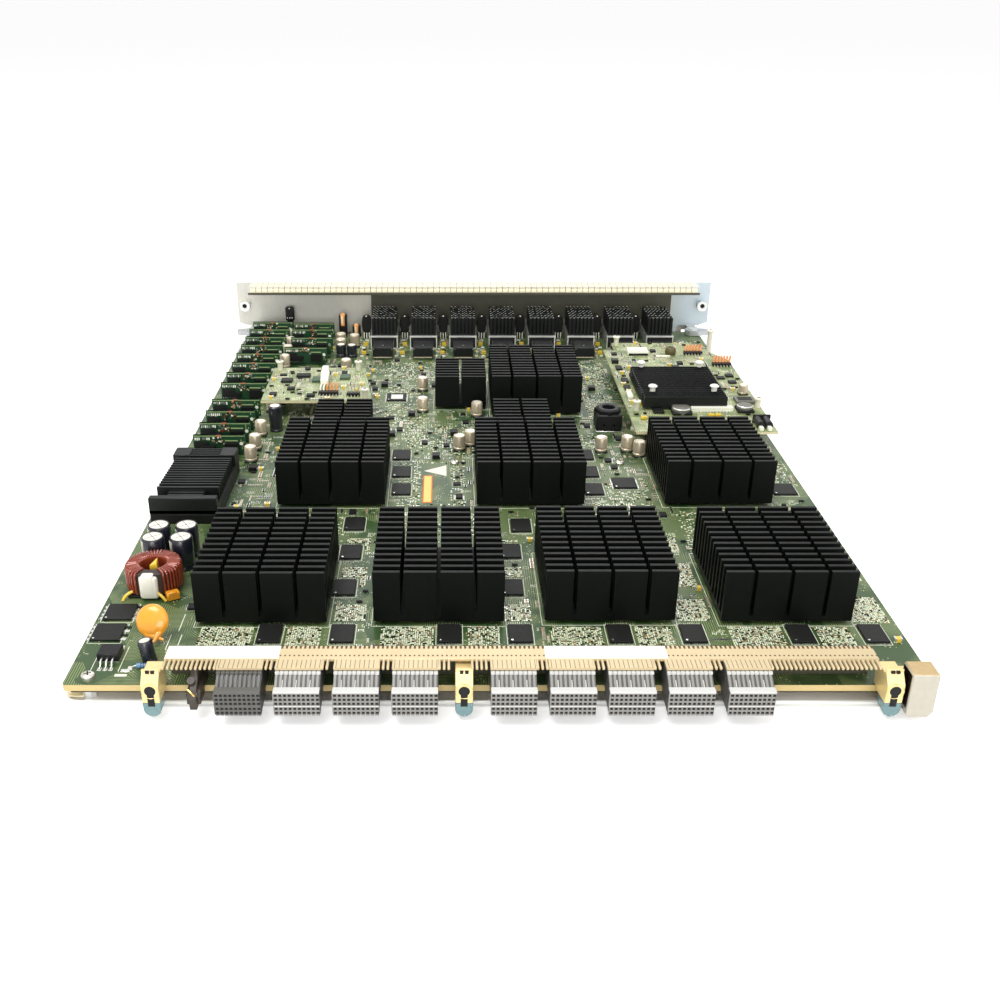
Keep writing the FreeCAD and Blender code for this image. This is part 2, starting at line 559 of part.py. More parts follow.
def make_module(label, x):
    """A stack of upright wafers behind a mating face: ribs run down the slope to the face."""
    body = new_body(label)
    slope = [("module_step", "module_height - comb_sheet / 2"), ("face_y + face_depth / 2", "face_top")]
    profile = polygon(sketch_on(body, "YZ", "-module_width / 2"), [
        ("module_rear", "0"), ("module_rear", "module_height"), ("module_step", "module_height"), slope[0],
        slope[1], ("face_y", "face_top"), ("face_y", "face_bottom"), ("-tray_gap + tray_rear", "face_bottom"),
        ("-tray_gap + tray_rear", "0")])
    add(body, profile, "module_width")
    groove = polygon(sketch_on(body, "YZ", "-column_pitch * (module_columns - 2) / 2 - rib_gap / 2"), [
        (slope[0][0], f"{slope[0][1]} + 1"), (slope[0][0], f"{slope[0][1]} - rib_depth"),
        (slope[1][0], f"{slope[1][1]} - rib_depth"), (slope[1][0], f"{slope[1][1]} + 1")])
    repeat(body, cut(body, groove, "rib_gap"), groove, "N_Axis", "column_pitch", "module_columns - 1")
    seam = rectangle(sketch_on(body, "XZ", "face_y"), "-module_width / 2", "module_width / 2",
                     "(face_top + face_bottom - seam_width) / 2", "(face_top + face_bottom + seam_width) / 2")
    cut(body, seam, "seam_depth")
    return place(body, x)


def make_modules():
    pieces = []
    for number, (x,) in enumerate(MODULES):
        label = "power_connector" if number == 0 else f"backplane_connector_{number}"
        pieces.append(make_module(label, x))
    return pieces


COMB_LEFT = "(guide_1_across + guide_width / 2 + comb_end_gap)"
COMB_RIGHT = "(guide_3_across - guide_width / 2 - comb_end_gap)"


def comb_runs():
    """The bare stretches of the stiffener: where each starts and how many slots it has."""
    after_module = "module_{}_across + module_width / 2 + slot_margin"
    short = [(after_module.format(number), "2") for number in (1, 2, 3, 5, 6, 7, 8)]
    beside_guide = [(after_module.format(4), "3"), ("guide_2_across + guide_width / 2 + slot_margin", "3")]
    return [(f"{COMB_LEFT} + 4 * slot_margin", "9")] + short + beside_guide + [(after_module.format(9), "22")]


def make_comb():
    """A bent sheet bar over the connectors, slotted like a comb along its front edge."""
    body = new_body("connector_stiffener")
    low = "module_height + comb_clearance"
    profile = polygon(sketch_on(body, "YZ", COMB_LEFT), [
        ("comb_front", low), ("comb_front", f"{low} + comb_sheet"),
        ("module_rear + comb_clearance + comb_sheet", f"{low} + comb_sheet"),
        ("module_rear + comb_clearance + comb_sheet", "0"), ("module_rear + comb_clearance", "0"),
        ("module_rear + comb_clearance", low)])
    add(body, profile, f"{COMB_RIGHT} - {COMB_LEFT}")
    for start, count in comb_runs():
        slot = rectangle(sketch_on(body, "XY", low), start, f"{start} + slot_width", "comb_front",
                         "comb_front + slot_reach")
        repeat(body, cut(body, slot, "comb_sheet"), slot, "H_Axis", "column_pitch", count)
    return place(body)


def make_guide(label, x):
    """A cast guide with a keyhole for the backplane's pin and a round foot below it."""
    body = new_body(label)
    ledge = "comb_front - guide_ledge"
    profile = polygon(sketch_on(body, "YZ", "-guide_width / 2"), [
        ("comb_front - comb_clearance", "guide_top"), (ledge, "guide_top"),
        (ledge, "guide_top - guide_ledge_drop"),
        ("guide_face", "guide_face_top"), ("guide_face", "guide_foot_z"),
        ("tray_rear - tray_gap", "guide_foot_z"), ("tray_rear - tray_gap", "0"), ("guide_seat", "0"),
        ("guide_seat", "module_height - guide_neck"),
        ("comb_front - comb_clearance", "module_height - guide_neck")])
    add(body, profile, "guide_width")
    foot = ring(sketch_on(body, "XZ", "guide_face"), "0", "guide_foot_z", "guide_width / 2")
    add(body, foot, "guide_foot_depth")
    bore = circle(sketch_on(body, "XZ", "guide_face"), "0", "guide_bore_z", "guide_bore")
    cut(body, bore, "guide_bore_depth")
    slot = rectangle(sketch_on(body, "XZ", "guide_face"), "-guide_slot / 2", "guide_slot / 2",
                     "guide_slot_low", "guide_bore_z")
    cut(body, slot, "guide_bore_depth")
    return place(body, x)


def make_end_block():
    body = new_body("end_block")
    profile = octagon(sketch_on(body, "XZ", "end_block_front"), "-end_block_width / 2",
                      "end_block_width / 2", "end_block_bottom", "end_block_top", "end_block_corner")
    add(body, profile, "end_block_rear - end_block_front + tray_rear")
    seat = rectangle(sketch_on(body, "XZ", "end_block_rear + tray_rear"), "-end_block_width / 2",
                     "end_block_width / 2", "0", "end_block_foot")
    add(body, seat, "module_rear")
    return place(body, "guide_3_across + end_block_offset")


def make_key():
    """A dark coding key clipped to the stiffener beside the left guide."""
    body = new_body("coding_key")
    edge = "tray_rear - tray_gap"
    profile = polygon(sketch_on(body, "YZ", "-key_width / 2"), [
        ("key_rear", "0"), ("key_rear", "0.86 * key_top"), ("0.3 * key_reach", "key_top"),
        ("0.65 * key_reach", "0.55 * key_top"), ("0.8 * key_reach", "0.4 * key_top"),
        ("key_reach", "0.14 * key_top"), ("key_reach", "-key_drop"), (edge, "-key_drop"), (edge, "0")])
    add(body, profile, "key_width")
    ear = polygon(sketch_on(body, "YZ", "-key_ear_width / 2"), [
        ("0.8 * key_rear", "0"), ("0.8 * key_rear", "key_drop"), ("0.7 * key_reach", "key_drop"),
        ("0.85 * key_reach", "0.14 * key_top"), ("0.85 * key_reach", "-0.6 * key_drop"),
        (edge, "-0.6 * key_drop"), (edge, "0")])
    add(body, ear, "key_ear_width")
    return place(body, "guide_1_across + key_offset")


# ------------------------------------------------------------------ power conversion
REGULATORS = table("regulator", [
    (-167.6, 249.0), (-167.6, 269.8), (-167.6, 290.8), (-167.6, 312.4), (-167.6, 345.7), (-167.6, 367.6),
    (-167.6, 390.2), (-167.6, 411.4), (-167.6, 432.4), (-167.6, 452.9), (-167.6, 473.4), (-167.6, 493.0),
    (-132.6, 425.7), (-130.6, 451.0), (-132.6, 473.0), (-132.6, 490.0)])


def make_regulators():
    """Upright converter cards, each with a choke block, a row of parts and a row of pins."""
    cards = []
    for number, (x, y) in enumerate(REGULATORS, 1):
        card = box(f"card_{number}", "regulator_width", "regulator_board", "regulator_height", x, y,
                   "regulator_lift")
        choke = box(f"card_choke_{number}", "card_choke_width", "card_choke_depth", "card_choke_height",
                    f"({x} - 0.2 * regulator_width)", f"{y} - card_choke_depth",
                    "regulator_lift + card_part_lift")
        parts = box(f"card_parts_{number}", "card_part_width", "card_part_depth", "card_part_height",
                    f"({x} + 0.25 * regulator_width)", f"{y} - card_part_depth",
                    "regulator_lift + card_part_lift")
        pins = box(f"card_pins_{number}", "0.9 * regulator_width", "card_pin_depth",
                   "regulator_lift + card_pin_depth", x, f"{y} + (regulator_board - card_pin_depth) / 2", "0")
        cards.append(fuse(f"regulator_{number}", [card, choke, parts, pins]))
    return group("regulator_cards", cards)


POWER, CHOKE, VARISTOR, TRANSISTOR, CASED_CHOKE = table("power_part", [
    (-170.0, 153.0), (-169.6, 84.0), (-156.5, 33.0), (-175.5, 17.0), (86.0, 287.4)])


def make_power_module():
    body = new_body("power_module")
    case = octagon(sketch_on(body, "XY"), "-power_width / 2", "power_width / 2", "0", "power_length",
                   "board_corner / 2")
    add(body, case, "power_case")
    return place(body, *POWER)


def make_power_sink():
    """Fins along X between two solid end blocks."""
    body = new_body("power_heat_sink")
    block = rectangle(sketch_on(body, "XY"), "-power_width / 2", "power_width / 2", "0", "power_length")
    add(body, block, "power_sink_height")
    pitch = "(power_length - 2 * power_end) / power_fins"
    channel = rectangle(sketch_on(body, "YZ", "-power_width / 2"), "power_end",
                        f"power_end + {pitch} - power_fin", "power_sink_base", "power_sink_height")
    repeat(body, cut(body, channel, "power_width"), channel, "H_Axis", pitch, "power_fins")
    return place(body, *POWER, "power_case")


DARK_CAN, = table("dark_can", [(-137.5, 291.0)])


def turned_can(name, tiers, x, y):
    body = new_body(name)
    stack(body, tiers)
    return place(body, x, y)


BULK_ROWS = [f"({CHOKE[1]} + choke_radius + can_radius)",
             f"({CHOKE[1]} + choke_radius + 3 * can_radius + can_edge)"]
BULK_COLUMNS = table("bulk_can", [(-174.6,), (-160.0,)])
BULK_CANS = [(x, y) for y in BULK_ROWS for (x,) in BULK_COLUMNS]
CANS = table("can", [
    (-40.3, 368.5), (-39.5, 326.5), (-1.9, 317.5), (-14.7, 258.5), (-7.5, 266.0), (76.6, 255.5),
    (93.3, 256.5), (99.8, 248.8), (-146.5, 283.0), (-146.5, 259.5), (-146.5, 240.5), (-149.6, 484.0),
    (-149.6, 463.5), (-149.0, 443.0), (-148.2, 419.5), (-145.5, 327.0)])


def make_cans():
    bulk_tiers = [("0", "can_height - can_edge", "can_radius"),
                  ("can_height - can_edge", "can_edge", "can_radius - can_edge")]
    bulk = [turned_can(f"bulk_{number}", bulk_tiers, x, y) for number, (x, y) in enumerate(BULK_CANS, 1)]
    small_tiers = [("0", "small_can_height", "small_can_radius")]
    small = [turned_can(f"small_{number}", small_tiers, x, y) for number, (x, y) in enumerate(CANS, 1)]
    small.append(turned_can("dark_can", [("0", "can_height", "dark_can_radius")], *DARK_CAN))
    return [group("bulk_capacitors", bulk), group("can_capacitors", small)]


def make_choke():
    """A toroid lying on its base, with its windings' edges cut back."""
    body = new_body("filter_choke")
    stack(body, [("choke_lift", "choke_height", "choke_radius - choke_round"),
                 ("choke_lift + choke_round / 2", "choke_height - choke_round",
                  "choke_radius - choke_round / 3"),
                 ("choke_lift + choke_round", "choke_height - 2 * choke_round", "choke_radius")], 16)
    cut(body, ring(sketch_on(body, "XY", "choke_lift"), "0", "0", "choke_hole"), "choke_height")
    base = rectangle(sketch_on(body, "XY"), "-choke_base_half", "choke_base_half", "-choke_base_half",
                     "choke_base_half")
    add(body, base, "choke_base_height")
    return place(body, *CHOKE)


def make_varistor():
    """A dipped disc that leans back on its two leads."""
    body = new_body("surge_disc")
    for radius, thickness in (("varistor_radius", "varistor_thickness / 2"),
                              ("varistor_radius - varistor_round / 2", "varistor_thickness")):
        disc = ring(sketch_on(body, "XZ", f"-({thickness}) / 2"), "0", "varistor_radius + varistor_lift",
                    radius, 16)
        add(body, disc, thickness)
    leads = sketch_on(body, "XY", "0")
    rectangle(leads, "-varistor_pitch / 2 - lead_width / 2", "-varistor_pitch / 2 + lead_width / 2",
              "-lead_width / 2", "lead_width / 2")
    feet = add(body, leads, "varistor_radius / 2")
    repeat(body, feet, leads, "H_Axis", "varistor_pitch", "2")
    return place(body, *VARISTOR)


def make_transistor():
    """A power package lying on its tab, with leads bent down to the board."""
    body = new_body("power_transistor")
    half = "transistor_width / 2"
    case = rectangle(sketch_on(body, "XY"), f"-{half}", half, "0", "transistor_depth")
    add(body, case, "transistor_height")
    tab = rectangle(sketch_on(body, "XY"), f"-{half}", half, "transistor_depth",
                    "transistor_depth + tab_depth")
    add(body, tab, "tab_thickness")
    leads = polygon(sketch_on(body, "YZ", "-lead_pitch - lead_width / 2"), [
        ("0", "lead_rise"), ("0", "lead_rise + lead_thickness"),
        ("-0.45 * lead_reach", "lead_rise + lead_thickness"), ("-0.75 * lead_reach", "lead_thickness"),
        ("-lead_reach", "lead_thickness"), ("-lead_reach", "0"), ("-0.7 * lead_reach", "0"),
        ("-0.38 * lead_reach", "lead_rise")])
    repeat(body, add(body, leads, "lead_width"), leads, "N_Axis", "lead_pitch", "3")
    return place(body, *TRANSISTOR)


def make_cased_choke():
    """A square potted choke with a round well in its lid."""
    body = new_body("cased_choke")
    case = octagon(sketch_on(body, "XY"), "-cased_width / 2", "cased_width / 2", "0", "cased_width",
                   "cased_corner")
    add(body, case, "cased_height")
    well = ring(sketch_on(body, "XY", "cased_height - cased_well_depth"),
                "0", "cased_width / 2", "cased_well")
    cut(body, well, "cased_well_depth")
    return place(body, *CASED_CHOKE)


# ------------------------------------------------------------------ mezzanines
RIGHT_POSTS = table("right_post", [(110.0, 432.0), (187.0, 448.0), (104.0, 292.0), (186.5, 297.0)])
LEFT_POSTS = table("left_post", [(-145.0, 373.0), (-87.5, 373.0), (-79.0, 314.5)])
RIGHT_CORNERS = table("right_corner", [
    (98.5, 254.0), (189.0, 254.0), (189.6, 396.0), (168.0, 437.0), (107.0, 437.0), (107.0, 420.0),
    (98.5, 420.0)])
LEFT_CORNERS = table("left_corner", [(-150.0, 309.5), (-74.0, 309.5), (-83.0, 378.0), (-150.0, 378.0)])


def mezzanine(label, outline, posts):
    body = new_body(label)
    add(body, polygon(sketch_on(body, "XY"), outline), "mezzanine_board")
    holes = sketch_on(body, "XY")
    for x, y in posts:
        ring(holes, x, y, "post_hole", 8)
    cut(body, holes, "mezzanine_board")
    return place(body, z="mezzanine_lift")


def make_mezzanines():
    right = mezzanine("right_mezzanine", RIGHT_CORNERS, [RIGHT_POSTS[0], RIGHT_POSTS[2], RIGHT_POSTS[3]])
    left = mezzanine("left_mezzanine", LEFT_CORNERS, LEFT_POSTS)
    return [right, left]


def make_posts():
    """Snap posts: a stem through the mezzanine with a collar under it and a cap over it."""
    pieces = []
    for number, (x, y) in enumerate(RIGHT_POSTS + LEFT_POSTS, 1):
        body = new_body(f"post_{number}")
        stack(body, [("0", "mezzanine_lift", "post_head"),
                     ("mezzanine_lift", "mezzanine_board + post_rise", "post_radius"),
                     ("mezzanine_lift + mezzanine_board + post_rise", "post_head_height", "post_head")], 8)
        pieces.append(place(body, x, y))
    return group("mezzanine_posts", pieces)


def make_mezzanine_sink():
    return fin_sink("mezzanine_heat_sink", "mezzanine_sink_width", "mezzanine_sink_depth",
                    "mezzanine_sink_height", "sink_base", "mezzanine_sink_fin", "mezzanine_sink_fins",
                    *MEZZANINE_SINK, "mezzanine_lift + mezzanine_board + mezzanine_chip")


# ------------------------------------------------------------------ levers and captive screws
def make_lever(label, side):
    """An ejector lever: hub on the rivet, claw towards the card guide, handle folded on the panel."""
    body = new_body(label)
    sign = "-" if side < 0 else ""
    flip = "" if side < 0 else "-"
    front = "panel_inner + panel_sheet + lever_stop - lever_y"
    outer = f"{front} + lever_handle_depth"
    plate = polygon(sketch_on(body, "XY"), [
        (f"{sign}lever_arm_half", "-lever_hub + lever_corner"), (f"{sign}lever_hub", "-lever_claw_half"),
        (f"{sign}(lever_claw - lever_corner)", "-lever_claw_half + lever_corner"),
        (f"{sign}lever_claw", "-lever_claw_half + 2 * lever_corner"),
        (f"{sign}lever_claw", "lever_claw_half - lever_corner"), (f"{sign}lever_hub", "lever_claw_half"),
        (f"{sign}lever_arm_half", "lever_hub + 2 * lever_corner"), (f"{sign}lever_arm_half", outer),
        (f"{flip}lever_handle_start", outer), (f"{flip}lever_handle_start", front),
        (f"{flip}lever_arm_half", front), (f"{flip}lever_arm_half", "lever_hub"),
        (f"{flip}lever_hub", "lever_hub / 2"), (f"{flip}lever_hub", "-lever_hub / 2"),
        (f"{flip}lever_arm_half", "-lever_hub + lever_corner")])
    add(body, plate, "lever_thickness")
    handle = polygon(sketch_on(body, "XY", "lever_thickness / 2 - lever_handle_half"), [
        (f"{flip}lever_handle_start", front), (f"{flip}lever_handle_start", outer),
        (f"{flip}(lever_handle - 2 * lever_handle_bevel)", outer),
        (f"{flip}lever_handle", f"{outer} - lever_handle_bevel"), (f"{flip}lever_handle", front)])
    add(body, handle, "2 * lever_handle_half")
    bore = ring(sketch_on(body, "XY"), "0", "0", "lever_pin + lever_play", 24)
    cut(body, bore, "lever_thickness")
    return place(body, f"{sign}lever_x", "lever_y", "lever_gap")


def make_captive_screw(label, side):
    """A sprung screw: a knob, and a shank through the panel's sleeve and boss."""
    body = new_body(label)
    knob = "boss_length + panel_sheet + sleeve_length + captive_travel"
    stack(body, [("captive_tip", f"{knob} - captive_tip", "captive_radius"),
                 (knob, "knob_length", "knob_radius")])
    place(body, f"{side} * screw_x", "panel_inner - boss_length", "screw_z")
    body.Placement.Rotation = FreeCAD.Rotation(FreeCAD.Vector(1, 0, 0), -90)
    return body


# ------------------------------------------------------------------ build, check and write
LEAST_CUT = 1e-6  # cubic millimetres


def build():
    nodes = [make_tray(), make_board(), make_screws(), make_panel(), make_gasket()]
    nodes += [make_cage(number) for number in range(SIZES["port_count"])]
    nodes += [make_port_sinks(), make_lamps(), make_phy_sinks(), make_chips()]
    nodes += make_sinks()
    nodes += make_modules()
    nodes += [make_comb(), make_end_block(), make_key()]
    nodes += [make_guide(f"guide_block_{side}", x) for side, (x,) in zip(("left", "middle", "right"), GUIDES)]
    nodes += [make_regulators(), make_power_module(), make_power_sink(), make_choke(), make_varistor(),
              make_transistor(), make_cased_choke()]
    nodes += make_cans()
    nodes += make_mezzanines()
    nodes += [make_posts(), make_mezzanine_sink()]
    nodes += [make_lever("ejector_lever_left", -1), make_lever("ejector_lever_right", 1)]
    nodes += [make_captive_screw("captive_screw_left", -1), make_captive_screw("captive_screw_right", 1)]
    doc.recompute()
    return nodes


def check(nodes):
    """Stop on a failed feature, an empty or broken shape, or a pocket that took nothing away."""
    failed = [item.Name for item in doc.Objects if {"Invalid", "Error"} & set(item.State)]
    if failed:
        raise RuntimeError("failed features: " + ", ".join(failed))
    for item in pockets:
        if item.Shape.Volume >= item.BaseFeature.Shape.Volume - LEAST_CUT:
            raise RuntimeError("pocket cuts nothing: " + item.Name)
    for node in nodes:
        if node.Shape.isNull() or not node.Shape.isValid():
            raise RuntimeError("bad shape: " + node.Label)


def write(nodes):
    os.makedirs("parts", exist_ok=True)
    for node in nodes:
        node.Shape.exportStep(f"parts/{node.Label}.step")


nodes = build()
check(nodes)
write(nodes)
print(len(nodes), "nodes written")
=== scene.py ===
import math
import random

import bmesh
import bpy
from mathutils import Matrix, Vector


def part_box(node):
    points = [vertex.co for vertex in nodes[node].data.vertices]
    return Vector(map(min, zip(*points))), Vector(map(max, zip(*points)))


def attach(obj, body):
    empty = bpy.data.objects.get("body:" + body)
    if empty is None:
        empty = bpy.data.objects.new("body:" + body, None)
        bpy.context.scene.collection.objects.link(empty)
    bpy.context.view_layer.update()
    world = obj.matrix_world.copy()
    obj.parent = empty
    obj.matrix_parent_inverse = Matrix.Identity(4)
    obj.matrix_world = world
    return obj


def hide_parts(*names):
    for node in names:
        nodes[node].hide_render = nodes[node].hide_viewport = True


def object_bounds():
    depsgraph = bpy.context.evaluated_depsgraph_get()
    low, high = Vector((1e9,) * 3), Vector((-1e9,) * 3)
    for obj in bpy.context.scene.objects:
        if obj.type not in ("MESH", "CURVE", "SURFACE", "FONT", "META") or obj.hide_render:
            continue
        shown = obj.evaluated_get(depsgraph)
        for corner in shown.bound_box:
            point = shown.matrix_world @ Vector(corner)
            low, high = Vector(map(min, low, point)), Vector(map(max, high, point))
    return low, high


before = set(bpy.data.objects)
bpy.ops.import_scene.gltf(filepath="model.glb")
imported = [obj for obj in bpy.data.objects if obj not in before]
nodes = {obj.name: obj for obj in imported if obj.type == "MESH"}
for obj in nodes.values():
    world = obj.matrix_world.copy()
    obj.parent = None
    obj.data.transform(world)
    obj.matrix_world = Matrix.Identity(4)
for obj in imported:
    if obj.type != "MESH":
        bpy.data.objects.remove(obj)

cad_low, cad_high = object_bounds()
board_low, board_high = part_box("main_board")
CARD = Vector(((board_low.x + board_high.x) / 2, board_low.y, board_high.z))
draw = random.Random(41)


# ------------------------------------------------------------------ camera, light and floor
def make_camera():
    lens = bpy.data.cameras.new("view")
    lens.sensor_width = 36.0
    lens.lens = 39.6
    lens.shift_x = 0.0544
    lens.clip_start, lens.clip_end = 0.01, 20.0
    camera = bpy.data.objects.new("view", lens)
    camera.location = (-0.02353, -0.65221, 0.29360)
    camera.rotation_euler = (math.radians(90 - 26.046), 0, 0)
    bpy.context.scene.collection.objects.link(camera)
    bpy.context.scene.camera = camera


def lamp(name, place, aim, size, power):
    light = bpy.data.lights.new(name, "AREA")
    light.size = size
    light.energy = power
    thing = bpy.data.objects.new(name, light)
    thing.location = place
    thing.rotation_euler = (Vector(aim) - Vector(place)).to_track_quat("-Z", "Y").to_euler()
    bpy.context.scene.collection.objects.link(thing)


# ------------------------------------------------------------------ shader arithmetic
class Value:
    """A shader socket that takes part in plain arithmetic."""

    def __init__(self, finish, socket):
        self.finish, self.socket = finish, socket

    def maths(self, operation, *values):
        return self.finish.node("ShaderNodeMath", {"operation": operation}, values)

    def __add__(self, other):
        return self.maths("ADD", self, other)

    __radd__ = __add__

    def __sub__(self, other):
        return self.maths("SUBTRACT", self, other)

    def __rsub__(self, other):
        return self.maths("SUBTRACT", other, self)

    def __mul__(self, other):
        return self.maths("MULTIPLY", self, other)

    __rmul__ = __mul__

    def __gt__(self, other):
        return self.maths("GREATER_THAN", self, other)

    def __lt__(self, other):
        return self.maths("LESS_THAN", self, other)


def srgb(red, green, blue):
    """A colour written as on a screen, 0 to 255, turned into the renderer's linear values."""
    def linear(level):
        level = level / 255
        return level / 12.92 if level <= 0.04045 else ((level + 0.055) / 1.055) ** 2.4
    return (linear(red), linear(green), linear(blue), 1.0)


class Finish:
    """One material: a surface shader and the nodes that vary it."""

    def __init__(self, name, colour, rough=0.5, metal=0.0, coat=0.0):
        self.material = bpy.data.materials.new(name)
        self.material.use_nodes = True
        self.tree = self.material.node_tree
        self.shader = self.tree.nodes["Principled BSDF"]
        self.material.diffuse_color = colour
        self.colour = colour
        self.rough = rough
        self.feed("Base Color", colour)
        self.feed("Roughness", rough)
        self.feed("Metallic", metal)
        self.feed("Coat Weight", coat)

    def node(self, kind, settings, values, out=0):
        """Add a node: its settings first, then the values or links of its sockets."""
        made = self.tree.nodes.new(kind)
        for key, setting in settings.items():
            setattr(made, key, setting)
        pairs = values.items() if isinstance(values, dict) else enumerate(values)
        for key, value in pairs:
            self.link(value, made.inputs[key])
        return Value(self, made.outputs[out])

    def link(self, value, socket):
        if isinstance(value, Value):
            self.tree.links.new(value.socket, socket)
        else:
            socket.default_value = value

    def feed(self, name, value):
        self.link(value, self.shader.inputs[name])
        return self

    def place(self):
        """Where a point lies on the card, in metres."""
        return self.node("ShaderNodeTexCoord", {}, {}, "Object")

    def axes(self):
        spread = self.node("ShaderNodeSeparateXYZ", {}, [self.place()]).socket.node
        return [Value(self, spread.outputs[number]) for number in range(3)]

    def noise(self, scale, detail=2.0, stretch=(1, 1, 1)):
        where = self.node("ShaderNodeMapping", {}, {"Vector": self.place(), "Scale": stretch})
        return self.node("ShaderNodeTexNoise", {}, {"Vector": where, "Scale": scale, "Detail": detail}, "Fac")

    def cells(self, scale, out="Distance"):
        return self.node("ShaderNodeTexVoronoi", {}, {"Vector": self.place(), "Scale": scale}, out)

    def blend(self, factor, low, high):
        return self.node("ShaderNodeMix", {"data_type": "RGBA"}, {"Factor": factor, 6: low, 7: high}, 2)

    def ramp(self, value, low, high):
        return self.node("ShaderNodeMapRange", {}, [value, low, high, 0.0, 1.0])

    def bump(self, height, strength, distance=0.0002):
        made = self.node("ShaderNodeBump", {}, {"Height": height, "Strength": strength, "Distance": distance},
                         "Normal")
        return self.feed("Normal", made)

    def worn(self, scale=300, spread=0.12, rough_spread=0.12, bump=0.08, stretch=(1, 1, 1)):
        """The usual unevenness of a made surface: its colour, its gloss and a fine grain."""
        grain = self.noise(scale, 3.0, stretch)
        dark = tuple(level * (1 - spread) for level in self.colour[:3]) + (1.0,)
        light = tuple(min(1.0, level * (1 + spread)) for level in self.colour[:3]) + (1.0,)
        self.feed("Base Color", self.blend(grain, dark, light))
        self.feed("Roughness", self.noise(scale * 0.4, 2.0, stretch) * rough_spread * 2
                  + (self.rough - rough_spread))
        if bump:
            self.bump(grain, bump)
        return self


# ------------------------------------------------------------------ finishes
def solder_mask(name, mask, track, edge, top):
    """Circuit board: mask over buried tracks, plated dots, and bare laminate along its edge."""
    board = Finish(name, mask, 0.42)
    x, y, z = board.axes()
    patch = board.cells(75.0, "Color")
    patch_parts = board.node("ShaderNodeSeparateColor", {}, [patch]).socket.node
    first, second = Value(board, patch_parts.outputs[0]), Value(board, patch_parts.outputs[1])
    def lines(across, pitch):
        return board.node("ShaderNodeMath", {"operation": "FRACT"}, [across * (1 / pitch)]) > 0.56
    along_x, along_y, slanted = lines(y, 0.0011), lines(x, 0.0011), lines(x + y, 0.0016)
    run = board.blend(first > 0.38, along_x, along_y)
    run = board.blend(first > 0.74, run, slanted)
    shown = (second > 0.22) * board.ramp(board.noise(60.0), 0.38, 0.50)
    cloud = board.noise(18.0, 3.0)
    shade = board.blend(cloud, tuple(level * 0.84 for level in mask[:3]) + (1.0,), mask)
    top_colour = board.blend(board.node("ShaderNodeMath", {"operation": "MULTIPLY"}, [run, shown]), shade,
                             track)
    dots = board.cells(620.0) < 0.20
    sown = board.noise(85.0, 1.0) > 0.56
    top_colour = board.blend(dots * sown, top_colour, srgb(206, 206, 170))
    layers = board.node("ShaderNodeMath", {"operation": "FRACT"}, [z * 2600.0]) > 0.5
    side = board.blend(layers, edge, tuple(level * 0.80 for level in edge[:3]) + (1.0,))
    board.feed("Base Color", board.blend(z > top - 0.00005, side, top_colour))
    board.feed("Roughness", board.noise(240.0) * 0.16 + 0.34)
    board.bump(board.node("ShaderNodeMath", {"operation": "MULTIPLY"}, [run, shown]), 0.25, 0.0001)
    return board


TOP = board_high.z
mezzanine_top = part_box("right_mezzanine")[1].z
main_mask = solder_mask("main_solder_mask", srgb(56, 82, 42), srgb(128, 142, 92), srgb(214, 190, 130), TOP)
pale_mask = solder_mask("mezzanine_solder_mask", srgb(120, 136, 84), srgb(196, 202, 150), srgb(232, 222, 176),
                        mezzanine_top)
card_mask = Finish("converter_solder_mask", srgb(24, 66, 38), 0.4).worn(400, 0.25)
card_edge = Finish("converter_card_edge", srgb(160, 176, 120), 0.5).worn(400, 0.12)


def black_fins(name, crest):
    """Black anodising, with a painted highlight: the crests of the fins are painted lighter grey where light
    falls on them.
    """
    made = Finish(name, srgb(9, 12, 9), 0.48).worn(900, 0.25, 0.08, 0.06)
    made.feed("Specular IOR Level", 0.14)
    z = made.axes()[2]
    # Painted highlight: the lit crests are painted lighter grey, and the faces below them darker.
    crest_highlight = made.blend(made.noise(260.0), srgb(12, 14, 12), srgb(32, 33, 31))
    made.feed("Base Color", made.blend(z > crest, srgb(8, 11, 9), crest_highlight))
    return made


anodised = Finish("black_anodising", srgb(15, 18, 16), 0.46).worn(900, 0.25, 0.08, 0.06)
anodised.feed("Specular IOR Level", 0.3)
tall_fins = black_fins("tall_fin_anodising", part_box("near_heat_sink_1")[1].z - 0.0002)
short_fins = black_fins("short_fin_anodising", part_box("small_heat_sink_1")[1].z - 0.0002)
zinc = Finish("zinc_sheet", srgb(222, 223, 219), 0.38, 0.45).worn(140, 0.07, 0.10, 0.03, (1, 6, 1))


def lined_panel():
    """Plated sheet with painted shadow: a dark band under the top flange and a dark lower lip stand in for
    the flange's shadow, and its inner face has a bluish right end.
    """
    made = Finish("panel_sheet", srgb(216, 213, 203), 0.42, 0.45).worn(180, 0.05, 0.08, 0.02, (8, 1, 1))
    x, y, z = made.axes()
    inner = y < PANEL_INNER + 0.0003
    grain = made.noise(180.0, 3.0, (8, 1, 1))
    plain = made.blend(grain, srgb(204, 202, 192), srgb(222, 219, 209))
    ends = made.blend(made.ramp(x, 0.155, 0.175), plain, srgb(196, 208, 214))
    # Painted shadow: the flange's shadow on the inner face and on the lower part of the lip is painted in as
    # darker colour.
    flange_shadow = made.blend(made.ramp(z, FLANGE_SHADOW_Z, FLANGE_SHADOW_Z + 0.0016), ends, srgb(112, 110, 98))
    lip_shadow = made.blend(z < FLANGE_SHADOW_Z + 0.0062, ends, srgb(84, 82, 70))
    under = made.blend(x.maths("ABSOLUTE", x) < 0.178, ends, flange_shadow)
    rear = made.blend(y < PANEL_INNER - 0.0065, under, lip_shadow)
    made.feed("Base Color", made.blend(inner, plain, rear))
    return made


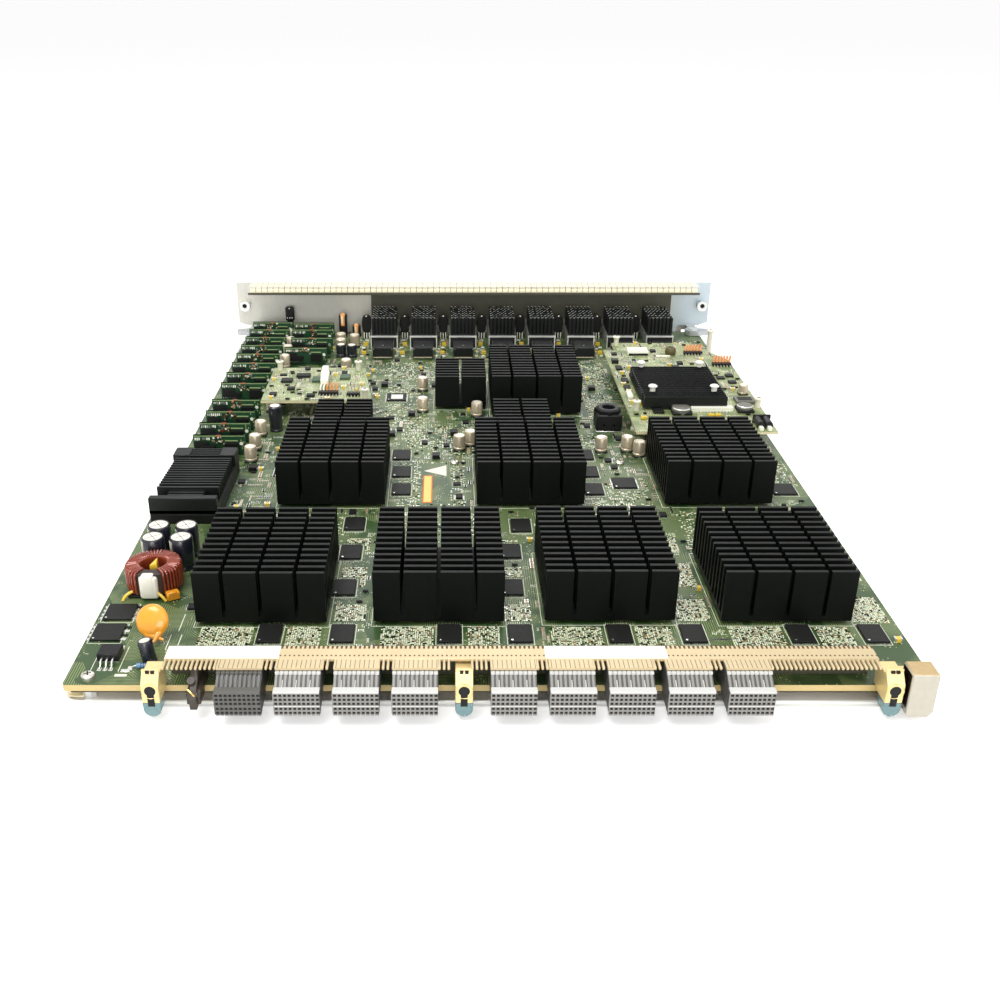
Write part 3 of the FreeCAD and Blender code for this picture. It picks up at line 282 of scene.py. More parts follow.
PANEL_INNER = CARD.y + 0.5140
# Height above the board's top where the painted shadow band under the flange begins.
FLANGE_SHADOW_Z = CARD.z + 0.0310
panel_sheet = lined_panel()
spring_strip = Finish("contact_strip", srgb(246, 234, 200), 0.45, 0.10).worn(300, 0.05, 0.08, 0.03)
comb_sheet = Finish("stiffener_plating", srgb(206, 186, 146), 0.42, 0.25).worn(260, 0.06, 0.10, 0.04)
cage_sheet = Finish("cage_plating", srgb(178, 180, 176), 0.32, 0.80).worn(260, 0.10, 0.10, 0.04)
yellow_cast = Finish("yellow_passivation", srgb(238, 214, 154), 0.38, 0.40).worn(420, 0.09, 0.12, 0.10)
grey_cast = Finish("bare_casting", srgb(196, 190, 176), 0.40, 0.60).worn(420, 0.10, 0.12, 0.10)
blue_foot = Finish("blue_plating", srgb(122, 150, 152), 0.26, 0.60).worn(300, 0.08)
wafer_grey = Finish("wafer_moulding", srgb(88, 88, 86), 0.50).worn(700, 0.10)
wafer_rib = Finish("wafer_rib", srgb(138, 136, 130), 0.46).worn(700, 0.10)
wafer_edge = Finish("wafer_edge", srgb(206, 206, 202), 0.40).worn(700, 0.04)
dark_wafer = Finish("dark_wafer_moulding", srgb(56, 56, 55), 0.48).worn(700, 0.12)
dark_rib = Finish("dark_wafer_rib", srgb(92, 90, 86), 0.46).worn(700, 0.12)
# Painted shade: near-black patches stand in for the shade inside holes, slots, sockets and recesses.
hole_shadow = Finish("painted_hole_shadow", srgb(12, 12, 12), 0.8).worn(700, 0.2, 0.05, 0)
tin = Finish("bright_tin", srgb(232, 232, 226), 0.26, 0.85).worn(800, 0.08)
steel = Finish("screw_plating", srgb(214, 210, 198), 0.28, 0.85).worn(500, 0.10)
moulding = Finish("black_moulding", srgb(18, 18, 18), 0.46).worn(900, 0.25, 0.10, 0.10)
moulding.feed("Specular IOR Level", 0.3)
package = Finish("chip_moulding", srgb(26, 27, 25), 0.55).worn(1400, 0.20, 0.08, 0.12)
package.feed("Specular IOR Level", 0.25)
laminate = Finish("chip_laminate", srgb(58, 84, 56), 0.5).worn(500, 0.12)
ceramic = Finish("capacitor_ceramic", srgb(176, 148, 112), 0.5).worn(700, 0.15)
pale_ceramic = Finish("pale_ceramic", srgb(214, 200, 168), 0.5).worn(700, 0.10)
silk = Finish("silkscreen_ink", srgb(240, 240, 222), 0.6).worn(1500, 0.05, 0.05, 0.0)
can_side = Finish("can_side", srgb(204, 190, 164), 0.36, 0.45).worn(300, 0.06, 0.08, 0.02)
can_lid = Finish("can_lid", srgb(246, 240, 222), 0.40, 0.30).worn(500, 0.05, 0.08, 0.04)
sleeve = Finish("shrink_sleeve", srgb(28, 30, 40), 0.28, 0.0, 0.3).worn(300, 0.25, 0.06, 0.02)
lid_mark = Finish("lid_ink", srgb(34, 34, 44), 0.5).worn(600, 0.2, 0.05, 0.0)
enamel = Finish("winding_enamel", srgb(140, 58, 36), 0.22, 0.20, 0.6).worn(900, 0.30, 0.08, 0.05)
ferrite = Finish("ferrite_core", srgb(52, 40, 36), 0.6).worn(900, 0.2)
glue = Finish("white_glue", srgb(240, 236, 222), 0.40, 0.0, 0.2).worn(260, 0.05, 0.12, 0.25)
yellow_film = Finish("yellow_film", srgb(232, 196, 60), 0.38, 0.0, 0.3).worn(300, 0.08)
orange_dip = Finish("orange_epoxy", srgb(240, 160, 40), 0.30, 0.0, 0.5).worn(300, 0.10, 0.08, 0.05)
orange_paper = Finish("orange_sticker", srgb(226, 108, 42), 0.6).worn(500, 0.05, 0.05, 0.0)
paper = Finish("bare_sticker", srgb(236, 234, 226), 0.62).worn(500, 0.03, 0.05, 0.02)
nylon = Finish("natural_nylon", srgb(232, 228, 208), 0.42).worn(300, 0.05)
blue_body = Finish("resistor_blue", srgb(92, 136, 176), 0.40, 0.0, 0.3).worn(500, 0.10)
brown_key = Finish("key_moulding", srgb(58, 50, 42), 0.45).worn(500, 0.18)
gold = Finish("gold_flash", srgb(226, 188, 110), 0.26, 0.85).worn(500, 0.08)
lever_cast = Finish("lever_metal", srgb(196, 198, 200), 0.34, 0.75).worn(260, 0.06, 0.10, 0.04)
header_orange = Finish("header_moulding", srgb(218, 142, 74), 0.45).worn(500, 0.10)
blue_moulding = Finish("blue_moulding", srgb(70, 108, 150), 0.45).worn(500, 0.10)
amber = Finish("indicator_lens", srgb(214, 226, 190), 0.2, 0.0, 0.4).worn(300, 0.05, 0.05, 0.0)
# Painted highlight: a light grey for the lit tips of pins and fins on the black sinks.
tip_highlight = Finish("painted_tip_highlight", srgb(150, 152, 146), 0.40, 0.2).worn(900, 0.25, 0.08, 0.0)
bright_rim = Finish("bright_cage_rim", srgb(246, 246, 240), 0.34, 0.5).worn(260, 0.05, 0.10, 0.02)
pale_pin = Finish("pale_pin", srgb(226, 220, 200), 0.30, 0.6).worn(800, 0.08)
grey_body = Finish("grey_body", srgb(112, 110, 100), 0.5).worn(600, 0.12)
dark_ochre = Finish("dark_ochre_body", srgb(86, 78, 40), 0.45).worn(600, 0.15)
push_pin = Finish("white_push_pin", srgb(240, 238, 226), 0.40).worn(300, 0.04)
brown_cast = Finish("brown_passivation", srgb(198, 172, 126), 0.40, 0.4).worn(420, 0.12, 0.12, 0.08)
comb_shade = Finish("stiffener_underside", srgb(66, 64, 50), 0.6).worn(260, 0.12)
notch_shade = Finish("stiffener_notch", srgb(86, 68, 44), 0.7).worn(260, 0.15, 0.05, 0.0)
rim_sheet = Finish("tray_rim", srgb(240, 240, 236), 0.40, 0.3).worn(160, 0.04, 0.10, 0.02)
cream_rim = Finish("tray_corner", srgb(240, 228, 190), 0.40, 0.3).worn(160, 0.06, 0.10, 0.02)
# Painted shadow: a black strip that stands in for the shade in the gap under the board's edge.
gap_shade = Finish("painted_gap_shadow", srgb(18, 18, 18), 0.7).worn(300, 0.2, 0.05, 0.0)
panel_shade = Finish("panel_liner", srgb(78, 77, 62), 0.5, 0.1).worn(200, 0.12, 0.08, 0.02)
amber_winding = Finish("amber_winding", srgb(236, 164, 84), 0.35, 0.0, 0.4).worn(700, 0.18)
tan_film = Finish("tan_film", srgb(176, 104, 62), 0.4, 0.0, 0.3).worn(500, 0.15)
cream_pad = Finish("solder_cream_pad", srgb(242, 246, 216), 0.45).worn(900, 0.08, 0.10, 0.0)
# Painted light: a near-white finish that brightens the shaded tray floor under the board's edge.
painted_floor_light = Finish("painted_lit_floor", srgb(250, 250, 248), 0.5).worn(120, 0.03, 0.10, 0.0)


# ------------------------------------------------------------------ shapes
UP, RIGHT, AHEAD = Vector((0, 0, 1)), Vector((1, 0, 0)), Vector((0, 1, 0))


class Shape:
    """A piece while it is made, in millimetres from its origin, which is itself measured from the middle of
    the board's connector edge and from the board's top."""

    def __init__(self, origin=(0, 0, 0)):
        self.origin = Vector(origin)
        self.mesh = bmesh.new()
        self.finishes = []

    def paint(self, faces, finish):
        if finish not in self.finishes:
            self.finishes.append(finish)
        number = self.finishes.index(finish)
        for face in faces:
            face.material_index = number

    def near(self, points):
        return list({face for point in points for face in point.link_faces})

    def block(self, low, high, finish, edge=0.0, turn=None, steps=1):
        """A box between two corners, turned about its middle where asked, with its edges taken off."""
        low, high = Vector(low), Vector(high)
        where = Matrix.Translation((low + high) / 2)
        if turn:
            where = where @ Matrix.Rotation(turn[0], 4, turn[1])
        made = bmesh.ops.create_cube(self.mesh, size=1.0,
                                     matrix=where @ Matrix.Diagonal((*(high - low), 1)))["verts"]
        self.paint(self.near(made), finish)
        if edge:
            edges = list({link for point in made for link in point.link_edges})
            bmesh.ops.bevel(self.mesh, geom=edges, offset=edge, segments=steps, profile=0.5, affect="EDGES",
                            material=-1)
        return made

    def blocks(self, rows):
        """Several boxes, each given as for one block."""
        for row in rows:
            self.block(*row)

    def rod(self, foot, radius, length, finish, axis=UP, sides=16, tip=None):
        """A round bar that stands on a point and runs along an axis, tapering to a tip where asked."""
        where = Matrix.Translation(Vector(foot) + Vector(axis) * length / 2) @ \
            Vector(axis).to_track_quat("Z", "Y").to_matrix().to_4x4()
        made = bmesh.ops.create_cone(self.mesh, cap_ends=True, segments=sides, radius1=radius,
                                     radius2=radius if tip is None else tip, depth=length,
                                     matrix=where)["verts"]
        self.paint(self.near(made), finish)
        return made

    def ball(self, middle, radius, finish, flat=1.0, rings=6):
        where = Matrix.Translation(Vector(middle)) @ Matrix.Diagonal((1, 1, flat, 1))
        made = bmesh.ops.create_uvsphere(self.mesh, u_segments=rings * 2, v_segments=rings, radius=radius,
                                         matrix=where)["verts"]
        self.paint(self.near(made), finish)

    def lathe(self, profile, foot, finish, axis=UP, steps=28):
        """Turn a profile of (radius, height) points about an axis through a point."""
        frame_turn = Vector(axis).to_track_quat("Z", "Y").to_matrix().to_4x4()
        where = Matrix.Translation(Vector(foot)) @ frame_turn
        points = [self.mesh.verts.new(where @ Vector((radius, 0, height))) for radius, height in profile]
        edges = [self.mesh.edges.new(pair) for pair in zip(points, points[1:])]
        before = set(self.mesh.faces)
        bmesh.ops.spin(self.mesh, geom=points + edges, cent=Vector(foot), axis=Vector(axis).normalized(),
                       angle=math.tau, steps=steps, use_merge=True)
        faces = [face for face in self.mesh.faces if face not in before]
        rim = list({point for face in faces for point in face.verts})
        bmesh.ops.remove_doubles(self.mesh, verts=rim, dist=0.0005)
        faces = [face for face in self.mesh.faces if face not in before]
        bmesh.ops.recalc_face_normals(self.mesh, faces=faces)
        self.paint(faces, finish)
        return faces

    def prism(self, outline, finish, along, start, length, edge=0.0):
        """Extrude an outline: 'along' names the axis, and the outline's pairs fill the other two in order."""
        slot = "XYZ".index(along)
        points = []
        for pair in outline:
            place = list(pair)
            place.insert(slot, start)
            points.append(self.mesh.verts.new(place))
        face = self.mesh.faces.new(points)
        push = Vector((0, 0, 0))
        push[slot] = length
        grown = bmesh.ops.extrude_face_region(self.mesh, geom=[face])["geom"]
        moved = [item for item in grown if isinstance(item, bmesh.types.BMVert)]
        bmesh.ops.translate(self.mesh, vec=push, verts=moved)
        faces = self.near(points + moved)
        bmesh.ops.recalc_face_normals(self.mesh, faces=faces)
        self.paint(faces, finish)
        if edge:
            edges = list({link for point in points + moved for link in point.link_edges})
            bmesh.ops.bevel(self.mesh, geom=edges, offset=edge, segments=1, profile=0.5, affect="EDGES",
                            material=-1)
        return faces

    def many(self, boxes, finish):
        """Plain boxes by the hundred, made in small batches that join the piece one after another."""
        for start in range(0, len(boxes), 250):
            batch = bmesh.new()
            for low, high in boxes[start:start + 250]:
                low, high = Vector(low), Vector(high)
                bmesh.ops.create_cube(batch, size=1.0, matrix=Matrix.Translation((low + high) / 2)
                                      @ Matrix.Diagonal((*(high - low), 1)))
            loose = bpy.data.meshes.new("batch")
            batch.to_mesh(loose)
            batch.free()
            before = len(self.mesh.faces)
            self.mesh.from_mesh(loose)
            self.mesh.faces.ensure_lookup_table()
            self.paint(self.mesh.faces[before:], finish)
            bpy.data.meshes.remove(loose)

    def wires(self, paths, radius, finish, smooth=True, sides=2):
        """Round wire bent through points: every path is one length."""
        curve = bpy.data.curves.new("wire", "CURVE")
        curve.dimensions = "3D"
        curve.bevel_depth = radius
        curve.bevel_resolution = sides
        curve.use_fill_caps = True
        curve.resolution_u = 4
        for path in paths:
            spline = curve.splines.new("NURBS" if smooth else "POLY")
            spline.points.add(len(path) - 1)
            for point, place in zip(spline.points, path):
                point.co = (*place, 1.0)
            if smooth:
                spline.order_u = 3
                spline.use_endpoint_u = True
        carrier = bpy.data.objects.new("wire", curve)
        bent = bpy.data.meshes.new_from_object(carrier)
        before = set(self.mesh.faces)
        self.mesh.from_mesh(bent)
        self.paint([face for face in self.mesh.faces if face not in before], finish)
        bpy.data.objects.remove(carrier)
        bpy.data.curves.remove(curve)
        bpy.data.meshes.remove(bent)

    def done(self, name, slot, replaced=(), body="card"):
        """Bring the piece into the frame, mark its sharp edges and let it ride."""
        self.mesh.transform(Matrix.Translation(CARD) @ Matrix.Scale(0.001,
                                                                    4) @ Matrix.Translation(self.origin))
        for face in self.mesh.faces:
            face.smooth = True
        for link in self.mesh.edges:
            link.smooth = len(link.link_faces) == 2 and link.calc_face_angle(3.0) < 0.62
        data = bpy.data.meshes.new(name)
        self.mesh.to_mesh(data)
        self.mesh.free()
        for finish in self.finishes:
            data.materials.append(finish.material)
        piece = bpy.data.objects.new(name, data)
        bpy.context.scene.collection.objects.link(piece)
        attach(piece, body)
        if replaced:
            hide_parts(*replaced)
        return piece


def extent(node):
    """A CAD node's box in card millimetres."""
    low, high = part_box(node)
    return (low - CARD) * 1000, (high - CARD) * 1000


def solids(node):
    """The boxes of the separate solids in a CAD node, in card millimetres, left to right."""
    copy = bmesh.new()
    copy.from_mesh(nodes[node].data)
    bmesh.ops.remove_doubles(copy, verts=copy.verts, dist=0.000004)
    left, boxes = set(copy.verts), []
    while left:
        reach = [left.pop()]
        low, high = reach[0].co.copy(), reach[0].co.copy()
        while reach:
            point = reach.pop()
            low = Vector(map(min, low, point.co))
            high = Vector(map(max, high, point.co))
            for link in point.link_edges:
                other = link.other_vert(point)
                if other in left:
                    left.remove(other)
                    reach.append(other)
        boxes.append(((low - CARD) * 1000, (high - CARD) * 1000))
    copy.free()
    return sorted(boxes, key=lambda box: (round(box[0].x, 1), round(box[0].y, 1)))


def middle(box):
    return (box[0] + box[1]) / 2


def around(x, y, reach, turn):
    """The point that lies at a reach and a turn from a centre."""
    return x + reach * math.cos(turn), y + reach * math.sin(turn)


# ------------------------------------------------------------------ connector edge
WAFERS, HOLES_ABOVE, HOLES_BELOW = 10, 3, 2


def wafer_module(node, slot, base, rib, light):
    """One connector: shield row, sloping wafer ribs, and a face of square contact holes."""
    low, high = extent(node)
    shape = Shape()
    wide = high.x - low.x
    pitch = wide / WAFERS
    rear, step, face = high.y, -6.8, low.y
    roof, brow, sill = high.z, high.z - 4.1, low.z
    shape.block((low.x, step, 0.05), (high.x, rear, roof - 0.5), base)
    shape.prism([(step, 0.4), (step, roof - 0.9), (face + 3.2, brow - 1.0), (face + 3.2, sill + 0.3),
                 (-2.1, sill + 0.3), (-2.1, 0.4)], base, "X", low.x + 0.1, wide - 0.2)
    shape.block((low.x, face + 0.35, sill), (high.x, face + 3.4, brow - 0.9), base, 0.15)
    shape.block((low.x, face, brow - 0.95), (high.x, face + 3.6, brow), light, 0.15)
    split = sill + (brow - 0.95 - sill) * HOLES_BELOW / (HOLES_ABOVE + HOLES_BELOW)
    shape.block((low.x, face, split - 0.28), (high.x, face + 1.0, split + 0.28), light, 0.08)
    lean = [(step - 1.2, roof - 1.2), (face + 4.6, brow + 0.55), (face + 3.0, brow - 0.2),
            (face + 3.0, brow - 1.1), (step - 1.2, roof - 2.4)]
    groove = [(step - 0.9, roof - 1.9), (face + 3.2, brow - 0.25), (face + 3.2, brow - 0.9),
              (step - 0.9, roof - 2.9)]
    for column in range(WAFERS):
        left = low.x + column * pitch
        right = left + pitch
        shape.block((left + 0.14, step + 0.05, roof - 0.55), (right - 0.14, rear - 6.4, roof), rib, 0.12)
        shape.block((left + 0.10, step - 1.3, roof - 1.35), (right - 0.10, step + 0.1, roof - 0.15), light,
                    0.12)
        shape.prism(lean, rib, "X", left + 0.28, pitch - 0.95)
        shape.prism(groove, light if column % 3 == 1 else base, "X", left + 1.36, 0.36)
        for rows, floor, ceiling in ((HOLES_ABOVE, split + 0.28, brow - 0.95),
                                     (HOLES_BELOW, sill, split - 0.28)):
            drop = (ceiling - floor) / rows
            for row in range(rows):
                centre = floor + drop * (row + 0.5)
                # Painted shade: near-black patches for the contact holes.
                shape.block((left + 0.56, face + 0.05, centre - drop * 0.21),
                            (right - 0.40, face + 0.60, centre + drop * 0.21), hole_shadow)
            for row in range(rows + 1):
                line = floor + drop * row
                shape.block((left + 0.1, face + 0.04, line - 0.42), (right - 0.1, face + 0.5, line + 0.42),
                            rib)
        shape.block((left - 0.2, face + 0.02, sill + 0.2), (left + 0.34, face + 0.5, brow - 1.0), rib)
    shape.done(node + "_wafers", slot, [node])


def make_connectors():
    for node in sorted(name for name in nodes if name.startswith("backplane_connector")):
        wafer_module(node, "grey_connector_plastic", wafer_grey, wafer_rib, wafer_edge)
    wafer_module("power_connector", "dark_connector_plastic", dark_wafer, dark_rib, dark_rib)


NOTCH_PITCH = 2.0
BARE_LABELS = (0.2, 49.4), (164.6, 217.6)       # from the bar's left end


def make_stiffener():
    """The comb bar: two rows of punched notches, teeth between the connectors, and its rear flange."""
    low, high = extent("connector_stiffener")
    thick, tooth_end, root, proud = 1.4, low.y, low.y + 6.6, high.z + 0.02
    shape = Shape()
    modules = [extent(name) for name in nodes if "connector_" in name and "stiffener" not in name]
    modules.append(extent("power_connector"))
    guides = [extent(name) for name in nodes if name.startswith("guide_block")]
    shape.block((low.x, root, high.z - thick), (high.x, high.y, high.z), comb_sheet, 0.25)
    shape.block((low.x, high.y - thick, 0.0), (high.x, high.y, high.z - 0.3), comb_shade, 0.15)
    covered = [(box[0].x - 0.1, box[1].x + 0.1) for box in modules]
    held = [(box[0].x - 0.2, box[1].x + 0.2) for box in guides]
    for left, right in covered:
        shape.block((left, tooth_end + 0.2, high.z - thick), (right, root + 0.1, high.z - 0.15), comb_sheet,
                    0.1)
    place = low.x + 1.0
    while place < high.x - 0.5:
        notch = place + 0.55
        shape.block((notch, high.y - 2.3, high.z - 0.35), (notch + 0.95, high.y + 0.02, proud), notch_shade)
        shape.block((notch + 0.08, root + 2.1, high.z - 0.3), (notch + 0.84, root + 3.1, proud), notch_shade)
        if not any(left < place + 0.6 < right for left, right in covered + held):
            shape.block((place - 0.72, tooth_end, high.z - thick), (place + 0.42, root + 0.1, high.z),
                        comb_sheet, 0.3)
        place += NOTCH_PITCH
    for left, right in covered:
        column = left + 0.1
        while column < right - 0.3:
            shape.block((column + 0.9, tooth_end + 0.15, high.z - 0.25),
                        (column + 1.15, root - 0.4, high.z - 0.1), dark_rib)
            column += NOTCH_PITCH
    for start, stop in BARE_LABELS:
        shape.block((low.x + start, root + 0.3, high.z), (low.x + stop, high.y - 0.3, high.z + 0.1), paper)
    shape.done("stiffener_comb", "stiffener_metal", ["connector_stiffener"])


def make_guides():
    """Gold guide blocks with their bore and slot, on a blue rounded foot."""
    for side in ("left", "middle", "right"):
        node = "guide_block_" + side
        low, high = extent(node)
        half, bore = (high.x - low.x) / 2, 5.2
        shape = Shape(((low.x + high.x) / 2, 0, 0))
        shape.prism([(-7.2, high.z - 2.5), (-7.2, high.z), (-8.2, high.z), (-8.2, high.z - 1.4),
                     (low.y + 0.2, high.z - 5.4), (low.y, high.z - 6.2), (low.y, -0.9), (-2.1, -0.9),
                     (-2.1, 0.2), (2.0, 0.2), (2.0, high.z - 2.5)], yellow_cast, "X", -half, 2 * half, 0.25)
        # Painted shade: near-black patches for the slots, the bore and the keyhole.
        for place in (-1.1, 1.1):
            shape.block((place - 0.75, -9.1, high.z - 1.6), (place + 0.75, -8.15, high.z - 0.4), hole_shadow)
        shape.rod((0, low.y - 0.04, bore), 2.45, 0.9, hole_shadow, AHEAD, 24)
        shape.block((-1.5, low.y - 0.06, -2.6), (1.5, low.y + 0.8, bore), hole_shadow)
        shape.lathe([(2.4, 0.0), (3.5, 0.0), (3.7, -0.3), (3.7, 0.3)], (0, low.y + 0.02, bore),
                    yellow_cast, AHEAD, 28)
        foot = [(half * math.cos(turn), low.z + 3.7 + 3.7 * math.sin(turn))
                for turn in (math.pi + math.pi * step / 12 for step in range(13))]
        shape.prism([(-half, -0.9)] + foot + [(half, -0.9)], blue_foot, "Y", low.y, 7.0, 0.25)
        for place in (-2.0, 0.3, 2.2):
            shape.ball((place, low.y + 0.25, low.z + 0.9), 0.35, wafer_edge, 1.0, 4)
        shape.done(node + "_casting", "guide_casting", [node])


def make_end_pieces():
    """The cast block at the right end of the connector edge, and the dark coding key near its left end."""
    low, high = extent("end_block")
    shape = Shape()
    shape.prism([(low.x, high.z - 0.7), (low.x + 0.6, high.z - 0.2), (high.x - 0.6, high.z - 0.2),
                 (high.x, high.z - 0.7),
                 (high.x, low.z + 2.6), (high.x - 2.0, low.z), (low.x + 2.6, low.z), (low.x, low.z + 1.4)],
                grey_cast, "Y", low.y, -2.3 - low.y, 0.35)
    shape.block((low.x, -2.6, 0.02), (high.x, high.y, 6.0), yellow_cast, 0.3)
    shape.block((low.x + 0.4, low.y + 0.3, high.z - 0.6), (high.x - 0.4, -2.5, high.z), brown_cast, 0.2)
    shape.block((low.x, low.y + 1.0, low.z + 4.0), (low.x + 0.1, -2.6, high.z - 1.0), brown_cast)
    shape.done("end_block_casting", "end_casting", ["end_block"])
    low, high = extent("coding_key")
    shape = Shape(((low.x + high.x) / 2, 0, 0))
    shape.prism([(6, 0.05), (6, 9.4), (-3.6, 10.9), (-8.4, 6.0), (-10.4, 4.5), (-12.9, 1.5), (-12.9, -3.9),
                 (-2.1, -3.9), (-2.1, 0.05)], brown_key, "X", -1.6, 3.2, 0.3)
    shape.prism([(5, 0.05), (5, 4), (-9, 4), (-11, 1.5), (-11, -2.4), (-2.1, -2.4), (-2.1, 0.05)], brown_key,
                "X", -3.0, 6.0, 0.3)
    shape.rod((-1.0, -7.4, 7.2), 1.7, 1.2, brown_key, Vector((0, -0.6, 0.8)), 14)
    shape.rod((0.6, -10.6, 2.6), 1.5, 1.0, brown_key, Vector((0, -0.7, 0.7)), 14)
    shape.wires([[(-2.4, -9.6, 4.4), (-0.6, -11.2, 3.8), (1.4, -12.0, 1.6), (1.2, -12.4, -2.0)]], 0.45, gold)
    shape.done("coding_key_moulding", "dark_key_plastic", ["coding_key"])


# ------------------------------------------------------------------ what is soldered to the boards
class Crowd:
    """Small parts by the hundred on one board: it keeps them apart and gathers their boxes by finish."""

    def __init__(self, outline, level, blocked):
        self.outline, self.level, self.boxes, self.used = outline, level, {}, set()
        for low, high in blocked:
            self.used.update(self.cells(low.x - 0.4, low.y - 0.4, high.x + 0.4, high.y + 0.4))

    def cells(self, x_low, y_low, x_high, y_high):
        return [(across, along) for across in range(math.floor(x_low * 2), math.ceil(x_high * 2))
                for along in range(math.floor(y_low * 2), math.ceil(y_high * 2))]

    def take(self, x, y, wide, deep):
        """Claim a rectangle if nothing stands there and it lies on the board."""
        corners = (x, y), (x + wide, y), (x, y + deep), (x + wide, y + deep)
        if not all(inside(corner, self.outline) for corner in corners):
            return False
        wanted = self.cells(x, y, x + wide, y + deep)
        if self.used.intersection(wanted):
            return False
        self.used.update(wanted)
        return True

    def put(self, finish, x_low, y_low, x_high, y_high, height, foot=0.0):
        self.boxes.setdefault(finish, []).append(
            ((x_low, y_low, self.level + foot), (x_high, y_high, self.level + foot + height)))

    def line(self, x_low, y_low, x_high, y_high, finish=None):
        self.put(finish or silk, x_low, y_low, x_high, y_high, 0.05)

    def frame(self, x_low, y_low, x_high, y_high, wide=0.25):
        self.line(x_low, y_low, x_high, y_low + wide)
        self.line(x_low, y_high - wide, x_high, y_high)
        self.line(x_low, y_low, x_low + wide, y_high)
        self.line(x_high - wide, y_low, x_high, y_high)

    def chip(self, x, y, long, wide, high, finish, across):
        """A two-ended part: a body between tinned ends, lying across or along the board."""
        end = long * 0.22
        for start, stop, skin, rise in ((0, end, tin, high), (end, long - end, finish, high * 0.92),
                                        (long - end, long, tin, high)):
            if across:
                self.put(skin, x + start, y, x + stop, y + wide, rise)
            else:
                self.put(skin, x, y + start, x + wide, y + stop, rise)

    def legs(self, x, y, count, pitch, reach, sign, across, high=0.5):
        """A row of gull-wing leads with their pads; 'across' rows run along X and point along Y."""
        for number in range(count):
            at = number * pitch
            near, far = sorted((0, sign * reach))
            if across:
                self.put(tin, x + at, y + near, x + at + pitch * 0.5, y + far, high * 0.3)
            else:
                self.put(tin, x + near, y + at, x + far, y + at + pitch * 0.5, high * 0.3)

    def add_to(self, shape):
        for finish, boxes in self.boxes.items():
            shape.many(boxes, finish)


def inside(point, outline):
    """Whether a point lies in a convex or notched outline."""
    x, y = point
    hit = False
    for (x_one, y_one), (x_two, y_two) in zip(outline, outline[1:] + outline[:1]):
        if (y_one > y) != (y_two > y) and x < (x_two - x_one) * (y - y_one) / (y_two - y_one) + x_one:
            hit = not hit
    return hit


def small_part():
    """A size, colour and turn for a row of like two-ended parts."""
    long, wide, high = draw.choice(((1.0, 0.55, 0.5), (1.6, 0.85, 0.6), (1.6, 0.85, 0.8), (2.1, 1.3, 0.9)))
    return long, wide, high, draw.choice((ceramic, ceramic, package, pale_ceramic))


def fill(crowd, tries, busy, bounds):
    """Scatter rows of parts, pad fields, small packages and outlines wherever there is room."""
    x_low, y_low, x_high, y_high = bounds
    for _ in range(tries):
        x, y, kind = draw.uniform(x_low, x_high), draw.uniform(y_low, y_high), draw.random()
        if draw.random() > busy(x, y):
            continue
        if kind < 0.46:
            long, wide, high, skin = small_part()
            count, across = draw.randint(2, 7), draw.random() < 0.5
            pitch = wide + 0.45
            span = count * pitch
            if crowd.take(x, y, long if across else span, span if across else long):
                for number in range(count):
                    crowd.chip(x if across else x + number * pitch, y + number * pitch if across else y, long,
                               wide, high, skin, across)
                if draw.random() < 0.5:
                    crowd.line(x - 0.2, y - 0.3, x + (long if across else span), y - 0.12)
        elif kind < 0.78:
            columns, rows = draw.randint(3, 8), draw.randint(2, 7)
            if crowd.take(x, y, columns * 1.0, rows * 1.0):
                skin = draw.choice((tin, cream_pad, cream_pad))
                for column in range(columns):
                    for row in range(rows):
                        if draw.random() < 0.66:
                            place = x + column + draw.uniform(0, 0.2), y + row + draw.uniform(0, 0.2)
                            size = draw.choice(((0.5, 0.5), (0.8, 0.35), (0.35, 0.8)))
                            crowd.line(place[0], place[1], place[0] + size[0], place[1] + size[1], skin)
        elif kind < 0.86:
            if crowd.take(x, y, 6.4, 5.2):
                crowd.put(package, x + 1.2, y + 0.15, x + 5.2, y + 5.0, 1.4, 0.1)
                crowd.legs(x + 1.2, y + 0.4, 4, 1.27, 1.1, -1, False)
                crowd.legs(x + 5.2, y + 0.4, 4, 1.27, 1.1, 1, False)
                crowd.line(x + 1.2, y - 0.1, x + 5.2, y + 0.05)
        elif kind < 0.92:
            if crowd.take(x, y, 3.0, 2.8):
                crowd.put(package, x, y + 0.7, x + 2.9, y + 2.0, 1.0, 0.1)
                for place in (0.3, 2.1):
                    crowd.put(tin, x + place, y, x + place + 0.45, y + 0.75, 0.3)
                crowd.put(tin, x + 1.2, y + 2.0, x + 1.65, y + 2.7, 0.3)
        elif kind < 0.95:
            if crowd.take(x, y, 3.6, 2.9):
                crowd.chip(x, y, 3.5, 2.8, 1.9, yellow_film, True)
        elif kind < 0.97:
            if crowd.take(x, y, 5.4, 5.4):
                crowd.put(moulding, x + 0.2, y + 0.2, x + 5.2, y + 5.2, 2.8)
                crowd.put(tin, x, y + 1.2, x + 0.3, y + 4.2, 1.2)
                crowd.put(tin, x + 5.1, y + 1.2, x + 5.4, y + 4.2, 1.2)
        else:
            wide, deep = draw.uniform(3, 7), draw.uniform(2, 5)
            if crowd.take(x, y, wide, deep):
                crowd.frame(x, y, x + wide, y + deep, 0.2)
                if draw.random() < 0.6:
                    crowd.put(package, x + 0.9, y + 0.8, x + wide - 0.9, y + deep - 0.6, 0.9)


